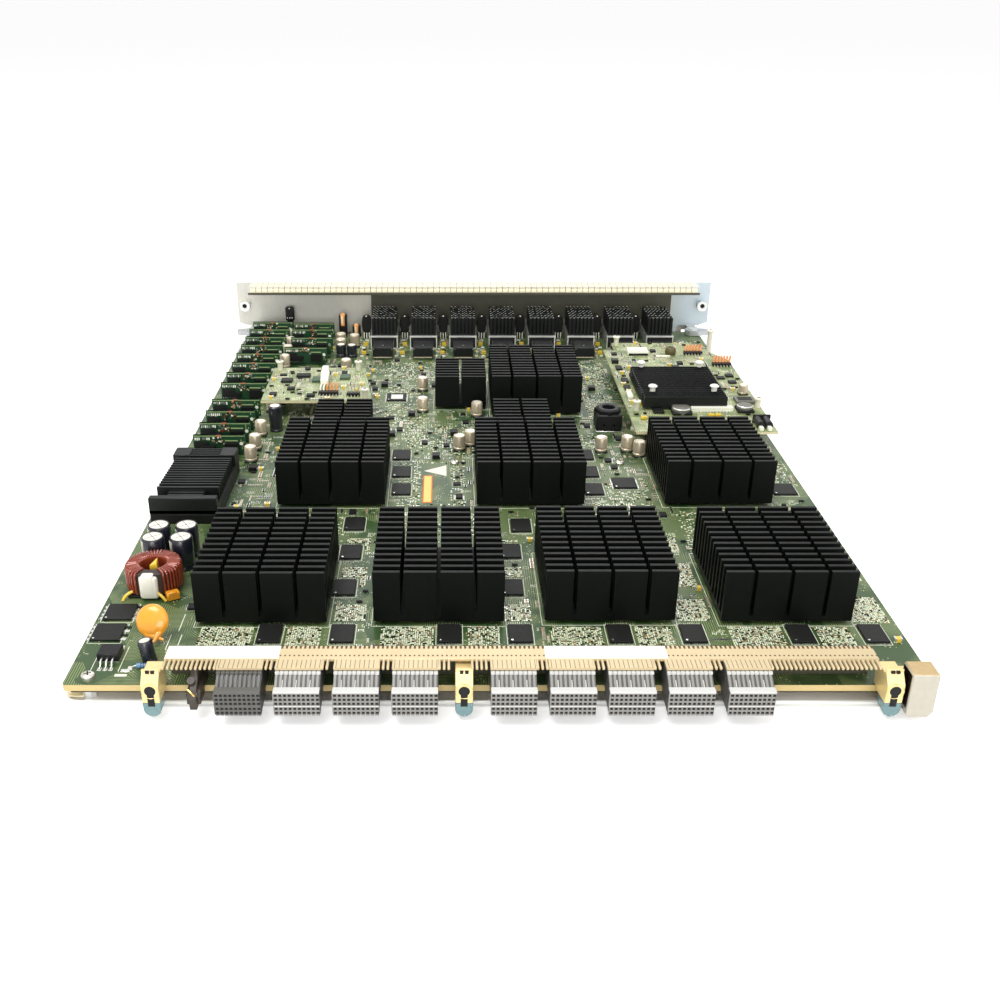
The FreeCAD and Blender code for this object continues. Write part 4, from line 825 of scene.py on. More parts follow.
def pad_field(crowd, x_low, y_low, x_high, y_high, full):
    """A close field of pale pads and tiny parts, left out wherever something already stands."""
    step_x, step_y = (1.0, 1.0) if full > 0.6 else (1.5, 1.5)
    y = math.ceil(y_low * 2) / 2
    while y < y_high:
        x = math.ceil(x_low * 2) / 2
        while x < x_high:
            if full > 0.6:
                wide, deep = draw.choice(((0.92, 0.55), (0.55, 0.92), (0.75, 0.75), (0.92, 0.4)))
            else:
                wide, deep = draw.choice(((1.4, 0.5), (0.5, 1.4), (0.9, 0.9), (1.4, 0.8), (0.4, 0.4)))
            if draw.random() < full and crowd.take(x, y, wide, deep):
                skin = draw.choice((cream_pad,) * 7 + (tin, ceramic, package))
                crowd.put(skin, x, y, x + wide, y + deep, 0.35 if skin in (ceramic, package) else 0.12)
            x += step_x
        y += step_y


CLOSE_FIELDS = 20                               # the first of them are filled closely
FIELDS = [(-139, 30, -114.5, 46.5), (-98, 30, -82, 46.5), (-54, 30, -29.5, 46.5), (-13, 30, 2, 46.5),
          (26, 30, 50, 46.5),
          (66, 30, 83, 46.5), (110, 30, 135, 46.5), (151, 30, 167, 46.5), (-77, 84, -64, 104),
          (-77, 52, -62, 67),
          (5, 84, 16, 104), (5, 52, 18, 67), (88, 52, 104, 72), (88, 84, 104, 108), (88, 120, 102, 136),
          (171, 50, 189, 74), (172, 90, 189, 112), (172, 128, 189, 150), (-77, 122, -64, 136),
          (5, 120, 16, 134),
          (-52, 176, -12, 242), (62, 176, 98, 208), (-130, 250, -124, 300), (-50, 250, 10, 300),
          (20, 250, 80, 282),
          (-66, 300, -38, 340), (-66, 352, -40, 380), (76, 312, 96, 360), (76, 370, 98, 430),
          (-70, 390, 4, 432),
          (-120, 122, -80, 168), (-56, 122, 2, 168), (26, 124, 84, 168), (108, 124, 168, 168),
          (170, 200, 190, 240),
          (-66, 460, -60, 512), (-34, 460, -28, 512), (-2, 460, 4, 512), (30, 460, 36, 512),
          (62, 460, 68, 512),
          (94, 460, 100, 512), (126, 460, 132, 512), (158, 460, 190, 512), (-95, 460, -86, 512),
          (170, 440, 190, 470)]


PORTS, FIRST_PORT, PORT_PITCH = 8, -73.5, 32


def port_x(number):
    return FIRST_PORT + PORT_PITCH * number


def standing(names):
    """The boxes of whatever stands on the board."""
    return [box for name in names for box in (solids(name) if name in GROUPS else [extent(name)])]


GROUPS = ("board_screws", "chip_packages", "port_lamps", "phy_heat_sinks", "regulator_cards",
          "bulk_capacitors", "can_capacitors", "mezzanine_posts")


def busy_board(x, y):
    """How thickly a stretch of the main board is populated."""
    if y < 30.0 or (x < -128 and y < 150):
        return 0.10
    if x > 172 and 60 < y < 174:
        return 0.12
    return 1.0


KEPT_CLEAR = [(Vector((x_low, y_low, 0)), Vector((x_high, y_high, 9))) for x_low, y_low, x_high, y_high in
              ((-162, 12, -146, 48), (-190, 60, -152, 130), (-38, 179, -22, 235),
               (-193, 486, -168, 512), (168, 486, 193, 512))]
MEMORY_DEPTH, PORT_PACKAGE, LARGE_PACKAGE = 15.0, 12.6, 20
FRONT_ROWS = 180.0                              # where the population is split in two pieces


def make_population():
    """Everything small on the main board: outlines, lead fans, pads and parts around what stands there."""
    low, high = extent("main_board")
    edge = [(low.x + 2, 12.0), (high.x - 2, 12.0), (high.x - 2, high.y - 4), (low.x + 2, high.y - 4)]
    names = [name for name in nodes if "sink" in name and "port" not in name and "mezzanine" not in name
             and "phy" not in name]
    names += [name for name in nodes if "port_cage" in name or "connector_" in name or "guide_block" in name]
    names += ["power_connector", "power_module", "filter_choke", "surge_disc", "power_transistor",
              "cased_choke", "coding_key", "end_block"] + list(GROUPS)
    crowd = Crowd(edge, 0.0, standing(names) + KEPT_CLEAR)
    for box_low, box_high in solids("chip_packages"):
        wide, deep = box_high.x - box_low.x, box_high.y - box_low.y
        if box_low.z > 5 or wide > LARGE_PACKAGE or box_low.y > 430:
            continue
        if abs(deep - MEMORY_DEPTH) < 0.5:
            for sign, y in ((-1, box_low.y), (1, box_high.y)):
                for number in range(12):
                    x = box_low.x + 0.25 + number * 0.9
                    near, far = sorted((y + sign * 1.3, y + sign * draw.uniform(1.9, 3.4)))
                    if near > 30.5 or sign > 0:
                        crowd.line(x, near, x + 0.22, far)
        crowd.frame(box_low.x - 0.9, box_low.y - 1.5, box_high.x + 0.9, box_high.y + 1.5, 0.3)
        crowd.used.update(crowd.cells(box_low.x - 1.4, box_low.y - 3.4, box_high.x + 1.4, box_high.y + 3.4))
    for name in nodes:
        if "heat_sink_" in name:
            box_low, box_high = extent(name)
            crowd.frame(box_low.x - 1.3, box_low.y - 1.3, box_high.x + 1.3, box_high.y + 1.3, 0.28)
    for number in range(78):
        x = -137.0 + number * 3.9 + draw.uniform(-0.5, 0.5)
        if draw.random() < 0.8:
            crowd.line(x, 28.4, x + 0.25, 30.4)
    for number in range(PORTS):
        x = port_x(number)
        for wide, y, skin in ((9.6, 441.0, yellow_film), (10.4, 452.0, yellow_film),
                              (11.5, 458.5, pale_ceramic)):
            if crowd.take(x + wide, y, 2.0, 3.4):
                crowd.chip(x + wide, y, 3.3, 1.9, 1.7, skin, False)
    for number in range(PORTS + 1):
        x = port_x(number) - 19.5
        for y, wide, deep, high_part, skin in ((486.0, 3.0, 1.4, 0.8, silk), (480.0, 1.4, 2.4, 0.8, tin),
                                               (473.0, 3.4, 2.8, 2.4, yellow_film),
                                               (467.0, 2.6, 1.2, 0.7, silk), (459.0, 3.0, 2.0, 1.2, package),
                                               (451.0, 3.4, 2.8, 2.2, yellow_film),
                                               (445.0, 2.4, 1.4, 0.7, silk)):
            at = x + draw.uniform(0.0, 3.0)
            if crowd.take(at, y, wide, deep):
                crowd.put(skin, at, y, at + wide, y + deep, high_part)
                crowd.put(tin, at - 0.5, y + 0.2, at, y + deep - 0.2, 0.4)
                crowd.put(tin, at + wide, y + 0.2, at + wide + 0.5, y + deep - 0.2, 0.4)
    fill(crowd, 2600, busy_board, (low.x, FRONT_ROWS, high.x, high.y))
    for number, box in enumerate(FIELDS):
        pad_field(crowd, *box, 0.92 if number < CLOSE_FIELDS else 0.46)
    fill(crowd, 9500, busy_board, (low.x, 12.0, high.x, high.y))
    for name, near in (("board_population_front", True), ("board_population_rear", False)):
        shape = Shape()
        for finish, boxes in crowd.boxes.items():
            shape.many([box for box in boxes if (box[0][1] < FRONT_ROWS) == near], finish)
        shape.done(name, "circuit_board")


def make_packages():
    """Memories, controllers and the large packages that carry the heat sinks."""
    shape = Shape()
    for low, high in solids("chip_packages"):
        wide, deep = high.x - low.x, high.y - low.y
        centre = middle((low, high))
        if wide > LARGE_PACKAGE or abs(wide - PORT_PACKAGE) < 0.2:
            shape.block(low, (high.x, high.y, low.z + 1.1), laminate, 0.2)
            shape.block((low.x + 2, low.y + 2, low.z + 1.0), (high.x - 2, high.y - 2, high.z), anodised, 0.3)
            continue
        shape.block((low.x, low.y, low.z + 0.15), high, package, 0.18)
        shape.rod((low.x + 1.5, low.y + 1.5, high.z - 0.05), 0.55, 0.07, moulding, UP, 14)
        crowd = Crowd([], low.z, [])
        if abs(deep - MEMORY_DEPTH) < 0.5:
            for sign, y in ((-1, low.y), (1, high.y)):
                crowd.legs(low.x + 0.3, y, 12, 0.9, 1.0, sign, True)
        elif low.x < -170:
            crowd.legs(high.x, low.y + 1.0, 4, 3.4, 2.6, 1, False, 1.2)
            crowd.legs(low.x, low.y + 1.0, 4, 3.4, 1.6, -1, False, 1.2)
        else:
            for sign, x, y in ((-1, low.x, low.y), (1, high.x, high.y)):
                crowd.legs(low.x + 0.9, y, 20, 0.62, 1.1, sign, True)
                crowd.legs(x, low.y + 0.9, 20, 0.62, 1.1, sign, False)
        crowd.add_to(shape)
        if -70 < centre.x < -50 and centre.y > 340:
            shape.block((centre.x - 3.8, centre.y - 4.6, high.z - 0.02),
                        (centre.x + 4.6, centre.y + 3.8, high.z + 0.1), paper)
    shape.done("packages_with_leads", "black_moulding", ["chip_packages"])


def make_stickers():
    """Two bare stickers and a bare printed triangle."""
    shape = Shape()
    shape.block((-37.2, 180.0, 0.0), (-31.4, 218.0, 0.12), orange_paper)
    shape.block((-36.5, 181.0, 0.10), (-32.1, 217.0, 0.16), yellow_film)
    shape.prism([(-37.0, 225.0), (-23.0, 217.5), (-23.0, 233.5)], silk, "Z", 0.0, 0.05)
    shape.done("bare_stickers", "circuit_board")


# ------------------------------------------------------------------ power conversion and capacitors
def make_regulator_cards():
    """Upright green cards: chips, chokes and rows of small parts on the face towards the connectors."""
    shape = Shape()
    bits = {finish: [] for finish in (tin, package, moulding, ceramic, card_edge, card_mask, silk, enamel,
                                      tan_film)}
    for low, high in solids("regulator_cards"):
        left, right, back, top = low.x, high.x, high.y, high.z
        face = back - 1.6
        shape.block((left, face, 1.6), (right, back, top), card_mask, 0.1)
        bits[card_edge].append(((left + 0.4, face + 0.1, top - 0.05), (right - 0.4, back - 0.1, top)))
        bits[card_edge].append(((left + 0.2, face - 0.04, top - 0.9), (right - 0.2, face, top - 0.5)))
        bits[package].append(((left + 1.0, face - 1.2, 3.4), (left + 9.6, face, 9.6)))
        bits[moulding].append(((left + 5.4, low.y, 4.2), (left + 14.4, face, 7.4)))
        bits[moulding].append(((right - 12.6, face - 2.6, 3.2), (right - 4.4, face, 9.0)))
        bits[card_edge].append(((right - 12.6, face - 0.2, 9.8), (right - 4.6, face, 10.5)))
        for number in range(8):
            x = left + 1.2 + number * 1.25
            bits[draw.choice((tin, silk))].append(((x, face - 0.6, 10.4 + draw.uniform(0, 0.6)),
                                                   (x + 0.75, face, 12.2)))
            bits[tin].append(((x, face - 1.25, 2.6), (x + 0.45, face, 3.5)))
        for number in range(16):
            x, z = left + draw.uniform(11.5, 19.5), draw.uniform(7.6, 12.4)
            skin = draw.choice((tin, tin, silk, ceramic, ceramic, enamel, package))
            bits[skin].append(((x, face - 0.8, z),
                               (x + draw.uniform(0.6, 1.5), face, z + draw.uniform(0.5, 1.1))))
        for number in range(5):
            x, z = right - draw.uniform(0.9, 4.0), draw.uniform(3.0, 12.0)
            bits[card_edge].append(((x, face - 0.1, z), (x + 0.5, face, z + 1.2)))
        shape.rod((right - 2.4, face - 0.12, 8.2), 1.15, 0.12, silk, AHEAD, 14)
        bits[tan_film].append(((left + 14.8, face - 0.5, top - 0.8), (left + 17.8, face + 0.3, top)))
        for number in range(15):
            x = left + 2.0 + number * 2.0
            bits[tin].append(((x, face + 0.5, 0.0), (x + 0.7, face + 1.1, 2.4)))
            bits[ceramic].append(((x, back, 4.0 + number % 3), (x + 1.1, back, 5.0 + number % 3)))
        bits[card_mask].append(((left + 1.65, face + 0.45, 0.0), (right - 1.65, face + 1.15, 1.7)))
    for finish, boxes in bits.items():
        shape.many(boxes, finish)
    shape.done("populated_converter_cards", "regulator_board", ["regulator_cards"])


def make_capacitors():
    """The bare aluminium cans with their sleeved neighbours, and the four large sleeved ones."""
    shape, bulk = Shape(), Shape()
    for low, high in solids("can_capacitors"):
        x, y = middle((low, high)).xy
        radius, top = (high.x - low.x) / 2, high.z
        if top > 12:
            shape.lathe([(0, 0), (radius - 0.3, 0), (radius, 0.5), (radius, 1.2), (radius - 0.5, 1.9),
                         (radius, 2.6),
                         (radius, top - 0.9), (radius - 0.7, top - 0.1), (radius - 1.2, top - 0.25),
                         (0, top - 0.25)],
                        (x, y, 0), sleeve)
            shape.rod((x, y, top - 0.3), radius - 1.3, 0.25, can_lid, UP, 24)
            continue
        shape.block((x - 3.9, y - 3.9, 0.0), (x + 3.9, y + 3.9, 1.1), moulding, 0.5)
        shape.block((x - 0.5, y - 4.0, 0.02), (x + 0.5, y + 4.0, 0.5), tin)
        shape.lathe([(0, 1.0), (radius - 0.1, 1.0), (radius, 1.3), (radius, 2.1), (radius - 0.45, 2.6),
                     (radius - 0.45, 3.0), (radius, 3.4), (radius, top - 0.7), (radius - 0.35, top - 0.1),
                     (radius - 0.8, top - 0.02), (radius - 1.0, top - 0.12), (0, top - 0.12)], (x, y, 0),
                    can_side)
        shape.rod((x, y, top - 0.16), radius - 1.0, 0.12, can_lid, UP, 24)
        turn = draw.choice((0.2, 1.6, 2.6, 4.5))
        arc = [around(x, y, radius - 1.0, turn + step * 0.25) for step in range(8)]
        shape.prism(arc, lid_mark, "Z", top - 0.1, 0.06)
    shape.done("can_capacitors_turned", "can_aluminium", ["can_capacitors"])
    for low, high in solids("bulk_capacitors"):
        x, y = middle((low, high)).xy
        radius, top = (high.x - low.x) / 2, high.z
        bulk.lathe([(0, 0), (radius - 0.4, 0), (radius, 0.5), (radius, 1.4), (radius - 0.55, 2.2),
                    (radius, 3.0),
                      (radius, top - 1.0), (radius - 0.5, top - 0.15), (radius - 1.1, top - 0.1),
                    (radius - 1.2, top - 0.5), (0, top - 0.5)], (x, y, 0), sleeve)
        bulk.rod((x, y, top - 0.55), radius - 1.15, 0.3, can_lid, UP, 28)
        for turn in (0.6, 0.6 + math.pi / 2):
            bulk.block((x - radius + 1.6, y - 0.14, top - 0.27), (x + radius - 1.6, y + 0.14, top - 0.2),
                       lid_mark, turn=(turn, "Z"))
        for step in range(4):
            place = around(x, y, radius + 0.02, 3.6 + step * 0.12)
            bulk.wires([[(*place, 3.2), (*place, top - 1.2)]], 0.12, silk, False, 1)
    bulk.done("bulk_capacitors_turned", "black_sleeve", ["bulk_capacitors"])


def make_toroid():
    """The wound ring choke: its core, turns, glue, tongue, tails and the small part at its foot."""
    low, high = extent("filter_choke")
    x, y = middle((low, high)).xy
    outer, hole, foot, top = (high.x - low.x) / 2, 6.0, 1.6, high.z
    shape = Shape((x, y, 0))
    shape.lathe([(hole + 0.8, foot + 1.0), (hole + 0.8, top - 1.2), (outer - 1.3, top - 1.2),
                 (outer - 1.3, foot + 1.0), (hole + 0.8, foot + 1.0)], (0, 0, 0), ferrite, UP, 40)
    shape.block((-11.6, -11.6, 0.0), (11.6, 11.6, 1.6), moulding, 0.6)
    loops = []
    for number in range(46):
        turn = math.tau * (number + 0.5) / 46
        if abs(turn - 1.5 * math.pi) < 0.42:
            continue
        path = []
        for reach, height in ((hole + 0.75, foot + 1.2), (hole + 0.75, top - 2.2), (hole + 1.3, top - 0.75),
                              (hole + 2.6, top - 0.62), (outer - 2.6, top - 0.62), (outer - 1.1, top - 1.0),
                              (outer - 0.65, top - 2.6), (outer - 0.65, foot + 1.8),
                              (outer - 1.2, foot + 0.7), (hole + 1.2, foot + 0.7), (hole + 0.75, foot + 1.2)):
            lean = turn + (reach - hole) * 0.006
            path.append((*around(0, 0, reach, lean), height))
        loops.append(path)
    shape.wires(loops, 0.62, enamel, True, 2)
    shape.block((-4.6, -outer + 0.3, 0.8), (4.6, -8.0, top - 1.6), glue, 1.6, steps=3)
    shape.block((-3.4, -outer + 0.1, 2.4), (3.0, -10.0, top - 0.7), glue, 1.2, steps=3)
    shape.prism([(-1.0, -4.0), (2.4, -2.6), (1.2, 4.4)], yellow_film, "Z", 2.0, top - 2.1, 0.3)
    shape.block((8.0, -14.0, 0.3), (14.4, -9.6, 4.4), orange_dip, 0.5, (0.5, "Z"))
    shape.block((9.4, -14.2, 3.9), (13.4, -12.0, 5.0), orange_dip, 0.4, (0.5, "Z"))
    shape.wires([[(-9, -10.5, 3.5), (-12.5, -13.0, 3.0), (-13.2, -14.0, 0.2)],
                 [(4.5, -12.4, 3.5), (6.5, -14.2, 3.0), (8.2, -14.4, 0.4)]], 0.75,
                yellow_film)
    shape.done("filter_choke_wound", "enamelled_winding", ["filter_choke"])


def make_surge_parts():
    """The dipped disc leaning on its two tails, a leaning can and a banded resistor."""
    low, high = extent("surge_disc")
    centre = middle((low, high))
    shape = Shape()
    lean = Vector((-0.12, -0.86, 0.50)).normalized()
    heart = Vector((centre.x - 3.0, centre.y + 4.6, 9.2))
    profile = [(0.0, 2.7), (3.6, 2.6), (6.2, 2.0), (7.5, 1.0), (7.9, 0.0), (7.5, -1.0), (6.2, -2.0),
               (3.6, -2.6), (0.0, -2.7)]
    shape.lathe(profile, heart, orange_dip, lean, 32)
    down = lean.cross(Vector((0.95, 0.2, 0))).normalized()
    side = lean.cross(down).normalized()
    if down.z > 0:
        down = -down
    for sign, foot in ((-1, (centre.x - 1.2, centre.y - 3.6, 0.3)),
                       (1, (centre.x + 2.9, centre.y - 1.6, 0.3))):
        start = heart + down * 5.6 + side * sign * 3.0
        if (Vector(foot) - start).x * sign < -6:
            start = heart + down * 5.6 - side * sign * 3.0
        tip = Vector(foot) + Vector((0, 0, 2.4))
        shape.rod(start, 2.0, (tip - start).length, orange_dip, (tip - start).normalized(), 14, 0.6)
        shape.wires([[tuple(tip), foot]], 0.35, tin, False)
    shape.done("surge_disc_dipped", "orange_epoxy", ["surge_disc"])
    extra = Shape()
    base, axis = Vector((-156.6, 17.4, 0.3)), Vector((-0.16, 0.10, 1.0)).normalized()
    extra.lathe([(0, 0), (3.0, 0), (3.3, 0.4), (3.3, 1.0), (3.0, 1.5), (3.3, 2.0), (3.3, 10.4), (3.0, 11.0),
                 (2.5, 11.0), (2.4, 10.8), (0, 10.8)], base, sleeve, axis)
    extra.rod(base + axis * 10.75, 2.4, 0.2, can_lid, axis, 22)
    extra.rod((-161.4, 12.6, 1.5), 1.15, 5.6, blue_body, RIGHT, 16)
    extra.rod((-160.6, 12.6, 1.5), 1.3, 0.9, blue_body, RIGHT, 16)
    for start in (-159.4, -158.4, -157.4):
        extra.rod((start, 12.6, 1.5), 1.18, 0.35, lid_mark, RIGHT, 16)
    extra.wires([[(-163.6, 12.6, 0.1), (-163.4, 12.6, 1.5), (-161.2, 12.6, 1.5)],
                 [(-155.9, 12.6, 1.5), (-154.0, 12.6, 1.5), (-153.8, 12.6, 0.1)]], 0.3, tin)
    extra.blocks([((-165.6, 11.0, 0), (-163.4, 14.2, 0.1), tin, 0.04),
                  ((-154.4, 11.0, 0), (-152.2, 14.2, 0.1), tin, 0.04),
                  ((-170, 6.4, 0), (-164.6, 8.0, 0.06), silk),
                  ((-168, 9.0, 0), (-163.8, 11.2, 0.7), tin, 0.15),
                  ((-149.6, 43.0, 0), (-149.2, 58.0, 0.05), silk),
                  ((-152.4, 27.0, 0), (-152.0, 40.0, 0.05), silk),
                  ((-152.4, 27.0, 0), (-147.0, 27.4, 0.05), silk),
                  ((-147.4, 27.0, 0), (-147.0, 40.0, 0.05), silk)])
    extra.done("leaning_can_and_resistor", "black_sleeve")


def make_transistor_package():
    """The tabbed power package with its three bent leads."""
    low, high = extent("power_transistor")
    x = middle((low, high)).x
    face = 17.0
    shape = Shape((x, face, 0))
    shape.block((-5, 0, 0.3), (5, 9, 4.4), moulding, 0.5)
    shape.block((-4.9, 8.9, 0.0), (4.9, high.y - face, 1.3), tin, 0.2)
    shape.block((-4.8, 0.3, 0.0), (4.8, 9, 0.5), tin)
    for place in (-2.54, 0, 2.54):
        shape.wires([[(place, 0.2, 2.4), (place, -1.6, 2.4),
                      (place, -2.6, 2.2), (place, -3.4, 0.5), (place, -4.4, 0.35),
                      (place, -5.8, 0.35)]], 0.45, tin)
        shape.block((place - 0.9, -6.4, 0), (place + 0.9, -3.6, 0.08), tin)
    for left, right in ((-6.4, -6.1), (6.1, 6.4)):
        shape.block((left, -7.0, 0), (right, 13, 0.05), silk)
    shape.done("power_transistor_leads", "black_moulding", ["power_transistor"])


def make_power_brick():
    """The converter's case and its stepped fin sink."""
    low, high = extent("power_heat_sink")
    case_low, case_high = extent("power_module")
    shape = Shape()
    shape.block((case_low.x, case_low.y, 0.0), case_high, moulding, 0.5)
    shape.done("power_module_case", "black_moulding", ["power_module"])
    fins = Shape()
    left, right, front, back, foot, top = low.x, high.x, low.y, high.y, low.z, high.z
    fins.block((left, front, foot), (right, back, foot + 2.3), anodised, 0.15)
    fins.block((left, front, foot), (right, front + 4.6, top), anodised, 0.35)
    for number in range(3):
        y = front + 7.6 + number * 3.1
        fins.block((left + 9, y, foot + 2), (right - 9, y + 1.3, top - 1.4), anodised, 0.12)
    fins.block((left + 1.5, front + 14.6, foot + 2), (right - 1.2, front + 16.4, top), anodised, 0.15)
    for number in range(12):
        y = front + 19.0 + number * 3.25
        fins.block((left + 1.8 + number * 0.12, y, foot + 2), (right - 1.2, y + 1.35, top), anodised, 0.15)
    fins.block((left + 0.6, back - 12.2, foot + 2), (left + 10.6, back, top), anodised, 0.3)
    fins.block((right - 9.2, back - 12.2, foot + 2), (right, back, top), anodised, 0.3)
    for number in range(4):
        y = back - 11.6 + number * 3.1
        fins.block((left + 10.4, y, foot + 2), (right - 9.0, y + 1.3, top - 0.4), anodised, 0.12)
    fins.done("power_sink_fins", "black_anodised", ["power_heat_sink"])


def make_potted_choke():
    """The cased choke: a square case that rises to an eight-sided collar round its winding."""
    low, high = extent("cased_choke")
    x, y = middle((low, high)).xy
    shape = Shape()
    half, top = (high.x - low.x) / 2, high.z
    shape.block((low.x, low.y, 0.6), (high.x, high.y, top - 3.0), moulding, 0.8)
    shape.lathe([(4.4, top - 8.5), (4.4, top - 0.4), (4.9, top), (half - 1.4, top), (half - 0.1, top - 0.9),
                 (half - 0.1, top - 3.2), (half - 0.3, top - 4)], (x, y, 0), moulding, UP, 8)
    shape.rod((x, y, top - 9), 4.5, 0.6, enamel, UP, 24)
    shape.block((low.x, low.y, 0.0), (high.x, high.y, 0.7), tin, 0.2)
    for place in (-3.4, 3.4):
        shape.rod((x + place, low.y, 5.0), 0.7, 0.1, tin, AHEAD, 12)
    shape.done("cased_choke_potted", "black_moulding", ["cased_choke"])


# ------------------------------------------------------------------ ports
def make_port_sinks():
    """Pin-fin sinks over the port modules, with a painted highlight on most pin tips."""
    shape = Shape()
    for low, high in solids("port_heat_sinks"):
        wide, deep = high.x - low.x, high.y - low.y
        shape.block((low.x, low.y, low.z), (high.x, high.y, low.z + 1.6), anodised, 0.1)
        pins, tip_glints = [], []
        for row in range(11):
            inset = (row % 2) * (wide - 1.9) / 12
            for column in range(7 - row % 2):
                x = low.x + 0.1 + inset + column * (wide - 1.9) / 6
                y = low.y + 0.1 + row * (deep - 1.9) / 10
                drop = 0.0 if row == 10 else 0.5 + 0.35 * (row % 2)
                pins.append(((x, y, low.z + 1.4),
                             (x + (1.1 if row == 10 else 1.75), y + 1.6, high.z - 0.3 - drop)))
                # Painted highlight: light caps on most pin tips stand in for glints.
                if draw.random() < 0.75:
                    tip_glints.append(((x + 0.3, y + 0.1, high.z - 0.9), (x + 1.3, y + 1.1, high.z - drop)))
        shape.many(pins, anodised)
        shape.many(tip_glints, tip_highlight)
    shape.done("port_sinks_pinned", "black_anodised", ["port_heat_sinks"])


def make_port_rears():
    """The rear of every cage: its folded rim, side tabs, feet and the dark opening with the plug's back."""
    shape = Shape()
    lights, darks, greys = [], [], []
    for name in sorted(nodes):
        if "port_cage" not in name:
            continue
        low, high = extent(name)
        rear, top = low.y, high.z
        if rear < 100:
            continue
        left, right = low.x, high.x
        lights.append(((left - 0.2, rear - 0.35, top - 1.1), (right + 0.2, rear + 0.4, top + 0.15)))
        darks.append(((left + 0.8, rear - 0.12, 0.6), (right - 0.8, rear + 0.4, top - 1.1)))
        for side, inward in ((left, 1), (right, -1)):
            one, two = sorted((side, side + inward * 0.8))
            lights.append(((one, rear - 0.3, 0.4), (two, rear + 0.5, top - 1.0)))
            one, two = sorted((side + inward * 0.8, side + inward * 3.6))
            lights.append(((one, rear - 0.3, 0.25), (two, rear + 0.5, 0.95)))
        for step in range(5):
            x = left + 3.4 + step * (right - left - 6.8) / 4
            greys.append(((x - 0.25, rear - 0.2, 1.6), (x + 0.25, rear + 0.2, top - 4.2)))
        for step in range(3):
            for side in (left - 0.03, right - 0.47):
                y = rear + 6 + step * 11
                darks.append(((side, y, 3.0), (side + 0.5, y + 4.5, 3.9)))
    shape.many(lights, bright_rim)
    # Painted shade: near-black patches for the dark opening and the side slots.
    shape.many(darks, hole_shadow)
    shape.many(greys, cage_sheet)
    shape.done("cage_rear_frames", "cage_steel")


def make_phy_sinks():
    """The low finned sinks behind the cages, with a push pin each."""
    shape = Shape()
    for low, high in solids("phy_heat_sinks"):
        centre = middle((low, high))
        shape.block((low.x, low.y, low.z), (high.x, high.y, low.z + 1.2), anodised, 0.1)
        pitch = (high.y - low.y) / 8
        for row in range(8):
            y = low.y + row * pitch
            shape.block((low.x, y + 0.25, low.z + 1.0), (high.x, y + pitch - 0.25, high.z), anodised, 0.12)
        shape.rod((centre.x, low.y + 8.4, high.z - 0.8), 0.85, 0.8, nylon, UP, 14)
        shape.ball((centre.x, low.y + 8.4, high.z - 0.6), 0.75, silk, 0.8, 5)
        shape.block((low.x + 0.6, low.y, low.z + 0.1), (high.x - 0.6, low.y + 0.2, low.z + 0.9), pale_ceramic)
        for place in (0.5, 15.0):
            shape.block((low.x + place, low.y + 0.1, high.z - 1.2),
                        (low.x + place + 0.5, low.y + 0.4, high.z - 0.5), steel)
    shape.done("phy_sinks_finned", "black_anodised", ["phy_heat_sinks"])


def make_lamps():
    """Paired indicators between the ports: rounded black housings with a painted highlight dot at the top
    front and three leads.
    """
    shape = Shape()
    foot = 5.0
    for low, high in solids("port_lamps"):
        x, half, top = middle((low, high)).x, (high.x - low.x) / 2, high.z
        outline = []
        for step in range(24):
            across, up = around(0.0, 0.0, 1.0, math.tau * step / 24)
            outline.append((x + half * math.copysign(abs(across) ** 0.6, across),
                            (foot + top) / 2 + (top - foot) / 2 * math.copysign(abs(up) ** 0.6, up)))
        shape.prism(outline, moulding, "Y", low.y, high.y - low.y, 0.3)
        shape.block((x - half + 0.8, low.y + 1.4, 0.0), (x + half - 0.8, high.y - 0.6, foot + 1.0), moulding,
                    0.3)
        # Painted highlight: a white ball at the top front edge stands in for the housing's highlight.
        shape.ball((x, low.y + 0.5, top - 0.35), 0.75, silk, 0.7, 6)
        for place in (-2.1, 0.0, 2.1):
            shape.wires([[(x + place, low.y + 0.9, foot + 0.9), (x + place, low.y - 0.2, foot - 1.0),
                          (x + place, low.y - 0.2, 0.1)]], 0.45, silk, False, 1)
    shape.done("port_lamps_rounded", "black_moulding", ["port_lamps"])
    spare = Shape()
    spare.block((-158.2, 503.0, 11.6), (-151.0, 508.6, 23.6), moulding, 1.2)
    spare.block((-157.0, 504.0, 0.0), (-152.2, 507.8, 12.0), moulding, 0.3)
    spare.ball((-154.6, 503.2, 22.6), 0.6, silk, 0.8, 5)
    for place in (-2.0, 0.0, 2.0):
        spare.ball((-154.6 + place, 502.9, 14.6), 0.45, silk, 1.0, 4)
    for x, y, foot, top in ((-113.2, 500.0, 8.0, 18.6), (-101.6, 495.0, 1.0, 11.0)):
        spare.block((x, y, 0.0), (x + 6.6, y + 6.0, top - 1.0), moulding, 0.6)
        spare.block((x + 1.2, y - 0.3, foot), (x + 5.2, y + 5.4, top), amber_winding, 0.7)
        spare.block((x + 2.2, y - 0.5, foot + 2.0), (x + 3.4, y + 0.4, top - 1.4), silk, 0.2)
    for x, y, black in ((-109.4, 475.1, False), (-108.1, 460.4, False), (-106.9, 446.2, True),
                        (-98.0, 472.0, False), (-98.2, 445.0, True), (-99.9, 409.3, False)):
        skin = sleeve if black else can_side
        spare.block((x - 4.0, y - 4.0, 0.0), (x + 4.0, y + 4.0, 1.1), moulding, 0.5)
        spare.lathe([(0, 1.0), (3.9, 1.0), (4.0, 2.0), (3.6, 2.6), (4.0, 3.4), (4.0, 9.6), (3.6, 10.1),
                     (3.2, 10.1), (0, 10.0)],
                    (x, y, 0), skin, UP, 24)
        spare.rod((x, y, 9.95), 3.2, 0.14, can_lid, UP, 24)
    spare.done("filter_box_and_inductors", "black_moulding")


